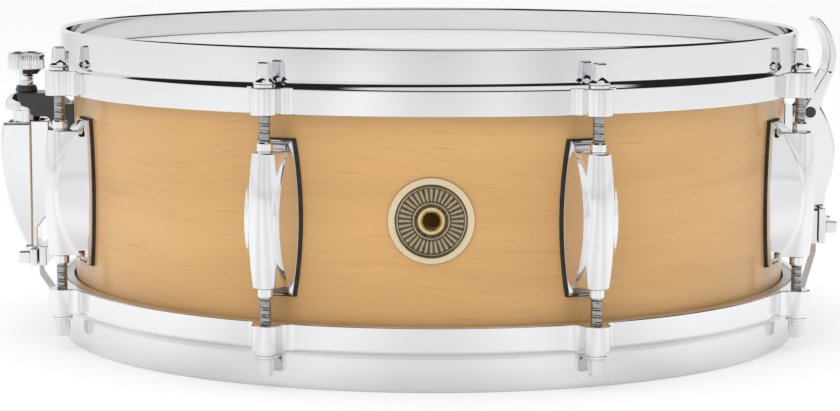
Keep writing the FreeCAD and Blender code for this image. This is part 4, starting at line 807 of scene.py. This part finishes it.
# %% Sixteen rods
for side, place, way in (("batter", Matrix(), 1), ("snare_side", UPSIDE_DOWN, -1)):
    for number in range(1, LUGS + 1):
        angle = FIRST_LUG + (number - 1) * 2 * math.pi / LUGS
        node = f"{side}_rod_{number}"
        for name, shape, material in (("thread", thread_mesh, plated_steel), ("head", head_mesh, chrome)):
            piece = placed(f"{node}_{name}", shape.data.copy())
            moved(piece, place @ Matrix.Rotation(way * angle, 4, "Z"))
            hang(piece, node, [node], material, smooth=30)
for shape in (thread_mesh, head_mesh):
    bpy.data.objects.remove(shape)

# %% [markdown]
# ## Badge and vent
# A round cast badge is bent to the shell, with a raised rim and a dark field.  Its relief here is a
# plain sunburst.  It is drawn flat, as rings of points with a height each, and then wrapped round
# the shell, which keeps every face square to the metal.

# %% Badge
BADGE_RADII = (4.9, 6.2, 7.3, 7.6, 7.8, 8.0, 8.2, 8.6, 9.2, 10.5, 11.8, 13.1, 14.0, 14.6, 14.9, 15.1, 15.3,
               15.7, 16.0, 16.25, 16.5, 17.3, 18.2, 18.75, 19.0)
RAYS = 36


def badge_height(radius, turn):
    """How far the metal stands off the shell, in millimetres."""
    rim = eased(16.0, 16.5, radius) * 0.4
    rays = 0.16 * (0.5 + 0.5 * math.cos(RAYS * turn))
    rays *= eased(8.4, 9.2, radius) * (1 - eased(14.0, 14.8, radius))
    beads = 0.22 * (math.exp(-((radius - 15.1) / 0.22) ** 2) + math.exp(-((radius - 7.9) / 0.25) ** 2))
    return 0.6 + rim + rays + beads


def wrapped(across, up, stand):
    """A point on the front of the shell, that far round it and standing that far off it."""
    bend = across / SHELL
    return (math.sin(bend) * (SHELL + stand), -math.cos(bend) * (SHELL + stand), MIDDLE + up)


badge_sections = []
for turn in full_turn(288):
    section = [(radius, badge_height(radius, turn)) for radius in BADGE_RADII]
    section += [(19.15, 0.85), (19.2, 0.6), (19.2, 0.05), (4.9, 0.05)]
    badge_sections.append([wrapped(*polar(radius, turn), stand) for radius, stand in section])
badge = lofted("round_badge", badge_sections, closed=True)
hang(badge, "drum", ["badge"], badge_brass, smooth=40)

# %% [markdown]
# The vent's grommet is a rolled eyelet: a flange on the badge, and a barrel through the shell with a
# turned-over edge inside.

# %% Vent grommet
grommet = lathed("vent_eyelet", softened([
    (3.8, 0.6), (3.8, 11.6), *bowed((3.8, 11.6), (6.0, 11.75), 1.12, 1, 10), (6.0, 11.75), (4.7, 11.75),
    (4.7, 2.6), (5.6, 2.6), (5.6, 1.6, 0.3), (4.6, 0.4)]), 64)
moved(grommet, shift(0, 10.9 - SHELL, MIDDLE) @ turned(90, "X"))
hang(grommet, "drum", ["vent_grommet"], brass, smooth=40)

# %% [markdown]
# ## The throw-off
# The throw-off's housing is a bowed hood.  Its side is one outline of arcs, pushed to its width with
# soft edges, and two blocks are carved out of it: the room for the slide, and the slot in front of
# the lever's crank.

# %% Throw-off housing
PLATE = 4.8
HOOD_TOP = 39.5
HOOD_LOW = -14
hood = [(PLATE + 0.1, HOOD_LOW), *bowed((22, HOOD_LOW), (24.2, -2), 34, -1, 8),
        *bowed((24.2, -2), (26.6, 14), 54.5, 1, 10), *bowed((26.6, 14), (16.2, HOOD_TOP), 46.7, 1, 16),
        (16.2, HOOD_TOP), (PLATE + 5, HOOD_TOP), (PLATE + 0.1, 34)]
room = [(PLATE - 1, HOOD_LOW - 2), (19.6, HOOD_LOW - 2), (24.2, 14), (13.8, HOOD_TOP + 2),
        (PLATE - 1, HOOD_TOP + 2)]
slot = [(PLATE - 1, 20.9), (30, 20.9), (30, HOOD_TOP + 2), (PLATE - 1, HOOD_TOP + 2)]
housing = slab("throwoff_hood", off_shell(hood), -10, 10, 1.3)
carve(housing, *(slab("room", off_shell(outline), -7.6, 7.6) for outline in (room, slot)))
hang(housing, "drum", ["throwoff_housing"], smooth=40)

# %% [markdown]
# Behind the hood a curved plate sits on the gasket, and a knurled wheel for fine tension stands on
# it.  The wheel's teeth come from a radius that rises and falls round it.

# %% Throw-off base and its wheel
def base_plate():
    """The plate under both ends: flat in front, and hollowed at the back to fit its gasket."""
    half_width, low, high, front, edge = 13, MIDDLE - 20, MIDDLE + 37, SHELL + PLATE, 0.8
    sections = []
    for step in range(-12, 13):
        across = half_width * step / 12
        back = math.sqrt((SHELL + 0.85) ** 2 - across ** 2)
        face = front - (edge if abs(step) == 12 else 0)
        sections.append([(back, across, low), (back, across, high), (front - edge, across, high),
                         (face, across, high - edge), (face, across, low + edge), (front - edge, across, low)])
    return lofted("plate", sections)


def knurled(name, outline, teeth, depth, inner):
    """A lathed piece whose outside, beyond a radius, is cut into teeth."""
    sections = []
    for step, turn in enumerate(full_turn(teeth * 4)):
        cut = depth * (0, 0.55, 1, 0.55)[step % 4]
        sections.append([(*polar(radius - (cut if radius > inner else 0), turn), height)
                         for radius, height in outline])
    return lofted(name, sections, closed=True)


wheel_outline = softened([
    (0, 0), (4.2, 0), (4.2, 0.8), (6.0, 1.0, 0.3), (6.2, 1.3), (6.2, 3.6), (6.0, 3.9, 0.3), (5.0, 4.1),
    (5.0, 4.6), (3.2, 4.6), (3.2, 6.4), (0, 6.4)])
wheel = knurled("wheel", wheel_outline, 36, 0.35, 5.8)
moved(wheel, shift(SHELL + PLATE - 0.6, 0, MIDDLE + 29.8) @ turned(90, "Y"))
base = joined("throwoff_plate", [base_plate(), wheel])
hang(base, "drum", ["throwoff_base"], smooth=34)

# %% [markdown]
# The lever is a bowed paddle on two arms.  The paddle's outline is two pairs of arcs that meet in a
# thin tip, and each arm runs from the paddle's foot to an eye round the shaft.

# %% Lever
PIVOT = (SHELL + 13, MIDDLE + 33.9)
FOOT = (PIVOT[0] + 7.4, PIVOT[1] + 20)
BOW = (PIVOT[0] + 12.7, PIVOT[1] + 29)
BOW_BACK = (BOW[0] - 3.6, BOW[1])
TIP = (PIVOT[0] + 12.7 / 4, PIVOT[1] + 47.2)
PADDLE_HALF = 12.7
paddle = [FOOT, *bowed((FOOT[0] + 3.6, FOOT[1] - 1.8), BOW, 40, 1, 10), *bowed(BOW, TIP, 30, 1, 14), TIP,
          *bowed((TIP[0] - 1.6, TIP[1] - 1.6), BOW_BACK, 26.4, -1, 14), *bowed(BOW_BACK, FOOT, 36.4, -1, 10)]
arm = [polar(3.7, math.radians(turn), *PIVOT) for turn in range(130, 331, 20)]
arm += [(FOOT[0] + 3.1, FOOT[1] - 2.2), (FOOT[0] + 3.2, FOOT[1] + 1), (FOOT[0] + 0.5, FOOT[1] + 1)]
lever = joined("lever_paddle", [
    slab("paddle", paddle, -PADDLE_HALF, PADDLE_HALF, 0.6),
    *(slab("arm", arm, low, low + 2.4, 0.5) for low in (-PADDLE_HALF, PADDLE_HALF - 2.4))])
hang(lever, "throwoff_lever", ["throwoff_lever"], smooth=40)
pin = lathed("lever_pin", softened([
    (0, -13.3), (2.6, -13.3, 0.5), (3.0, -12.75, 0.2), (2, -12.7), (2, 12.7), (3.0, 12.75, 0.2),
    (2.6, 13.3, 0.5), (0, 13.3)]), 32)
moved(pin, shift(PIVOT[0], 0, PIVOT[1]) @ turned(90, "X"))
hang(pin, "throwoff_lever", material=black_paint, smooth=40)

# %% [markdown]
# Below the hood a flat clamp plate grips the strap with two square-headed screws, and the butt end
# across the drum has the same clamp, so one function makes both.

# %% Clamps
def clamp(end, body, side, inner, low, high, screw_height):
    """A plate on the slide's face and two square heads that taper a little towards their ends."""
    outer = inner + 3.8
    plate = [(inner, low), (outer, low, 0.9), (outer - 0.1, high, 0.5), (inner, high)]
    plate = slab(f"{end}_clamp", softened(off_shell(plate, side)), -15, 15, 0.6)
    hang(plate, body, [f"{end}_clamp_plate"], smooth=40)
    heads = []
    for across in (-11, 11):
        sections = []
        for reach, half in ((0, 2.7), (0.3, 3.1), (5.0, 2.9), (5.6, 2.6), (6.0, 1.9)):
            corners = softened([(across + y * half, MIDDLE + screw_height + z * half, half * 0.3)
                                for y, z in ((-1, -1), (1, -1), (1, 1), (-1, 1))])
            sections.append([(side * (SHELL + outer + reach), y, z) for y, z in corners])
        heads.append(lofted("head", sections))
    heads = joined(f"{end}_clamp_heads", heads)
    hang(heads, body, [f"{end}_clamp_screws"], smooth=34)


clamp("throwoff", "throwoff_slide", 1, 18.1, -32.2, -14.4, -23.9)
clamp("butt", "butt_slide", -1, 19.1, -44.5, -35.9, -40.2)

# %% [markdown]
# ## The butt end
# The black bracket is cast in an S: it leaves its plate, reaches over the cover and carries the cap.
# The knob on top is turned with a knurled band, so it uses the same toothed lathe as the wheel.

# %% Butt bracket
bracket = [(PLATE - 0.5, 22), (PLATE + 6, 25, 2), (13, 30.4, 2), (20, 30.6, 1.5), (23.2, 34.9, 1.2),
           (26.6, 35.9, 1.2), (28.5, 40.6, 1), (28.5, 42.2, 0.6), (11, 42.2, 2), (PLATE - 0.5, 36.6)]
guide = [(PLATE - 1, -20), (12.8, -18), (12.8, 24), (PLATE - 1, 26)]
base = joined("butt_bracket", [
    moved(base_plate(), turned(180, "Z")),
    slab("bracket", softened(off_shell(bracket, -1)), -11.2, 11.2, 0.7),
    slab("guide", off_shell(guide, -1), -5, 5, 0.5)])
hang(base, "drum", ["butt_base"], black_paint, smooth=40)

# %% Cap, knob and collar
at_knob = shift(-SHELL - 25.2, 0, MIDDLE)
CAP_TOP = 42.3
DOME_TOP = CAP_TOP - 0.15
cap = lathed("butt_cap_dome", [
    (2.7, 22), (6.8, 22), (6.8, 33.4), (10.5, 33.4), (10.8, 33.7), *bowed((10.8, 36.4), (8.9, 40.0), 6.0, 1, 6),
    *bowed((8.9, 40.0), (5.6, DOME_TOP), 6.0, 1, 8), (5.6, DOME_TOP), (2.7, DOME_TOP)], 96)
hang(moved(cap, at_knob), "drum", ["butt_cap"], smooth=34)
knob = knurled("knob_head", softened([
    (0, -12), (2.3, -12), (2.3, 45.6), (3.6, 45.6), (3.6, 47.8, 0.2), (3.2, 48.1, 0.1), (3.6, 48.4, 0.2),
    (3.6, 50.4, 0.8), (6.4, 51.3, 0.3), (8.75, 53.8, 0.3), (9.15, 54.1), (9.15, 61.3), (8.8, 61.65),
    (8.3, 62, 0.2), (7.0, 62, 0.3), (6.4, 61.5, 0.3), (0, 61.5)]), 60, 0.32, 9.0)
hang(moved(knob, at_knob), "tension_knob", ["tension_knob"], smooth=30)
collar = lathed("knob_collar", softened([
    (2.6, CAP_TOP), (5.45, CAP_TOP, 0.3), (5.45, CAP_TOP + 1.9, 0.3), (5.0, CAP_TOP + 2.2),
    (5.0, CAP_TOP + 3.3, 0.5), (2.6, CAP_TOP + 3.3)]), 64)
hang(moved(collar, at_knob), "tension_knob", material=black_paint, smooth=34)

# %% [markdown]
# The cover that the knob lifts is a bulging shell over a narrower panel, with an open top that the
# cap's sleeve slides into.

# %% Butt cover
COVER_TOP = 27.3
COVER_LOW = -35.4
bulge = [(21.6, COVER_TOP), (36.3, COVER_TOP), *bowed((36.3, COVER_TOP), (37.2, 12), 90, -1, 8),
         *bowed((37.2, 12), (24.9, COVER_LOW), 105, -1, 24), (24.9, COVER_LOW), (21.6, COVER_LOW)]
sides = [(13.2, 28.2, 0.5), (22, 28.2), (22, COVER_LOW), (19.6, COVER_LOW), (19.6, -25.5, 1), (13.2, -17.5, 1)]
tongue = [(14.6, -44.4), (18.3, -44.4), (18.3, -34.5), (14.6, -34.5)]
well = [(-SHELL - reach, across, 3) for reach, across in ((34.3, -8.2), (15.2, -8.2), (15.2, 8.2), (34.3, 8.2))]
well = slab("well", softened(well), MIDDLE + 18.8, MIDDLE + 30, axis="Z")
cover = slab("cover", off_shell(bulge, -1), -10.5, 10.5, 1.5, segments=4)
panel = slab("panel", softened(off_shell(sides, -1)), -9.6, 9.6, 0.6)
carve(panel, well.copy())
carve(cover, well)
cover = joined("butt_cover", [cover, panel, slab("foot", off_shell(tongue, -1), -14.6, 14.6, 0.5)])
hang(cover, "butt_slide", ["butt_slide"], smooth=36)

# %% [markdown]
# ## Snare wires
# Twenty thin wires, each coiled like a long spring, are soldered to a plate at each end.  A Geometry
# Nodes tree coils one strand, lays it along the drum and repeats it across.

# %% Coiled strands
STRANDS = 20
tree, given = tree_with("coiled_strands", Length="Float", Spacing="Float", Height="Float")
length = given["Length"]
strand = coiled(tree, length, 8, 150.0, 0.55 * MM, 3, 0.24 * MM)
back = vector(tree, X=reckon(tree, "MULTIPLY", length, -0.5))
strand = put(tree, "GeometryNodeTransform", {
    "Geometry": strand, "Translation": back, "Rotation": (0, math.pi / 2, 0)})[0]
place = reckon(tree, "SUBTRACT", put(tree, "GeometryNodeInputIndex")[0], (STRANDS - 1) / 2)
across = reckon(tree, "MULTIPLY", place, given["Spacing"])
end_tree(tree, given, copies(tree, strand, STRANDS, vector(tree, Y=across, Z=given["Height"])))
wires_low, wires_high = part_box("snare_wires")
wires = grown("snare_strands", tree, Length=0.299, Spacing=2.2 * MM,
              Height=(wires_low[2] + wires_high[2]) / 2, Finish=drawn_wire)
hang(wires, "snare_wires", ["snare_wires"], drawn_wire, smooth=60)

# %% [markdown]
# The end plates are stamped brass with round corners and a pressed rib.  A flat strap of woven ribbon
# leaves each plate, goes out through the hoop's gate, turns up and ends in its clamp, so it is a
# strip swept along a bent path.

# %% End plates and straps
plate_low, plate_high = (corner[2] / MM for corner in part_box("snare_end_plates"))
plates = []
for side in (-1, 1):
    for inner, outer, half, inner_round, outer_round, low, high, bevel in (
            (144, 158, 22.5, 2, 2.5, plate_low, plate_high, 0.35),
            (149.6, 151.4, 18, 0.8, 0.8, plate_low - 0.2, plate_low + 0.5, 0.2)):
        outline = softened([(side * inner, -half, inner_round), (side * outer, -half, outer_round),
                            (side * outer, half, outer_round), (side * inner, half, inner_round)])
        plates.append(slab("plate", outline, low, high, bevel, axis="Z"))
hang(joined("end_plates", plates), "snare_wires", ["snare_end_plates"], brass, smooth=40)


def strap(clamp_reach, clamp_low, end, side):
    """A strip 16 mm wide along a path of (x, z), which ends off the shell in its clamp."""
    under = plate_low - 0.5
    clamp_x = SHELL + clamp_reach
    path = softened([(148, under), (160, under, 3), (COLLAR_IN - 6, 7.4, 3), (COLLAR_OUT + 1, 7.4, 3),
                     (SKIRT_OUT + 2.9, LOWER_EDGE + 2.8, 3), (clamp_x, MIDDLE + clamp_low - 5.2, 3),
                     (clamp_x, MIDDLE + end)], 6)
    sections = []
    for index, here in enumerate(path):
        along = (path[min(index + 1, len(path) - 1)] - path[max(index - 1, 0)]).normalized()
        normal = Vector((-along.y, along.x)) * 0.22
        edge = [(here + normal * share, across) for share, across in
                ((1, -7.7), (1, 7.7), (0, 8.0), (-1, 7.7), (-1, -7.7), (0, -8.0))]
        sections.append([(side * spot.x, across, spot.y) for spot, across in edge])
    return lofted("strap", sections)


straps = joined("snare_ribbons", [strap(18, -32.2, -18, 1), strap(19, -44.5, -38.3, -1)])
hang(straps, "snare_wires", ["snare_straps"], ribbon, smooth=50)

# %% [markdown]
# ## Floor, light and camera
# A white floor and a pale world give a plain studio.  Chrome looks like what surrounds it, so mirror
# rays see more than the rest: white low down, a dark belt above that, leaning a little across the drum,
# and white overhead.  The belt draws the crisp lines along the hoops' edges, and soft grey panels keep
# the flats from going blank.

# %% Floor and world
def path_share(tree, *kinds):
    """1 for rays of these kinds, from the Light Path node."""
    rays = put(tree, "ShaderNodeLightPath")
    share = rays[kinds[0]]
    for kind in kinds[1:]:
        share = reckon(tree, "MAXIMUM", share, rays[kind])
    return share


def grey_ramp(tree, share, stops, smoothing="LINEAR"):
    """A ramp of greys from pairs of (position, level)."""
    result = put(tree, "ShaderNodeValToRGB", {"Fac": share})["Color"]
    result.node.color_ramp.interpolation = smoothing
    ramp = result.node.color_ramp.elements
    while len(ramp) < len(stops):
        ramp.new(0.5)
    for stop, (position, level) in zip(ramp, stops):
        stop.position = position
        stop.color = (level, level, level, 1)
    return result


def soft_panels(tree, way):
    """Greys that change with the direction across the drum, as between a studio's white panels."""
    straight = reckon_vector(tree, "NORMALIZE", way)[0]
    across = put(tree, "ShaderNodeSeparateXYZ", {"Vector": straight})["X"]
    return grey_ramp(tree, reckon(tree, "ABSOLUTE", across), [
        (0.0, 0.80), (0.14, 0.80), (0.36, 1.0), (0.58, 0.70), (0.80, 1.0), (1.0, 0.97)], "B_SPLINE")


WHITE = (1, 1, 1, 1)
shape = bmesh.new()
bmesh.ops.create_grid(shape, x_segments=1, y_segments=1, size=30)
floor = new_piece("studio_floor", shape)
paper, tree, shader = new_finish("floor_paper", Base_Color=WHITE, Roughness=0.9, Specular_IOR_Level=0.1)
tone = blended(tree, path_share(tree, "Is Glossy Ray"), WHITE, soft_panels(tree, local_place(tree)))
drive(shader, "Base Color", tone)
glow = put(tree, "ShaderNodeEmission", {"Color": tone, "Strength": 1.0})[0]
share = reckon(tree, "MAXIMUM", reckon(tree, "MULTIPLY", path_share(tree, "Is Camera Ray"), 0.45),
               reckon(tree, "MULTIPLY", path_share(tree, "Is Glossy Ray", "Is Transmission Ray"), 0.2))
sheet = put(tree, "ShaderNodeMixShader", {0: share, 1: shader.outputs[0], 2: glow})[0]
drive(tree.nodes["Material Output"], "Surface", sheet)
floor.data.materials.append(paper)

world = bpy.data.worlds.new("studio_world")
bpy.context.scene.world = world
world.use_nodes = True
tree = world.node_tree
way = put(tree, "ShaderNodeTexCoord")["Generated"]
parts = put(tree, "ShaderNodeSeparateXYZ", {"Vector": way})
height = reckon(tree, "MULTIPLY_ADD", parts["X"], 0.2, parts["Z"])
belt = grey_ramp(tree, ranged(tree, height, -1, 1), [
    (0.0, 1.0), (0.725, 1.0), (0.742, 0.02), (0.962, 0.02), (0.975, 1.0)])
belt = reckon_vector(tree, "MULTIPLY", belt, soft_panels(tree, way))[0]
sky = tree.nodes["Background"]
drive(sky, "Color", blended(tree, path_share(tree, "Is Glossy Ray"), (0.91, 0.91, 0.91, 1), belt))
sky.inputs["Strength"].default_value = 1.0

# %% Lamps
for name, spot, aim, wide, tall, watts in (
        ("overhead_lamp", (0, -0.1, 1.6), (0, 0, 0.1), 1.4, 1.4, 8),
        ("front_lamp", (-0.9, -1.9, 1.3), (0, 0, 0.08), 1.2, 1.0, 7)):
    light = bpy.data.lights.new(name, "AREA")
    light.shape = "RECTANGLE"
    light.size = wide
    light.size_y = tall
    light.energy = watts
    lamp = placed(name, light)
    lamp.location = spot
    lamp.visible_glossy = False
    lamp.rotation_euler = (Vector(aim) - Vector(spot)).to_track_quat("-Z", "Y").to_euler()

# %% [markdown]
# The camera stands a little above the upper hoop and looks slightly down.  Its lens is long, so the
# drum's ellipse stays shallow, and a small shift frames the drum without tilting the view.

# %% Camera
lens = bpy.data.cameras.new("studio_camera")
lens.sensor_width = 36
lens.lens = 112.81
lens.shift_x = -0.01044
lens.shift_y = 0.0506
lens.clip_end = 100
camera = placed("studio_camera", lens)
DOWNWARDS = 8.0
camera.matrix_world = (turned(-0.35, "Z") @ shift(0, -1326.36, 225.4) @ turned(90 - DOWNWARDS, "X")
                       @ turned(0.186, "Z"))
bpy.context.scene.camera = camera
bpy.context.scene.view_settings.view_transform = "Standard"
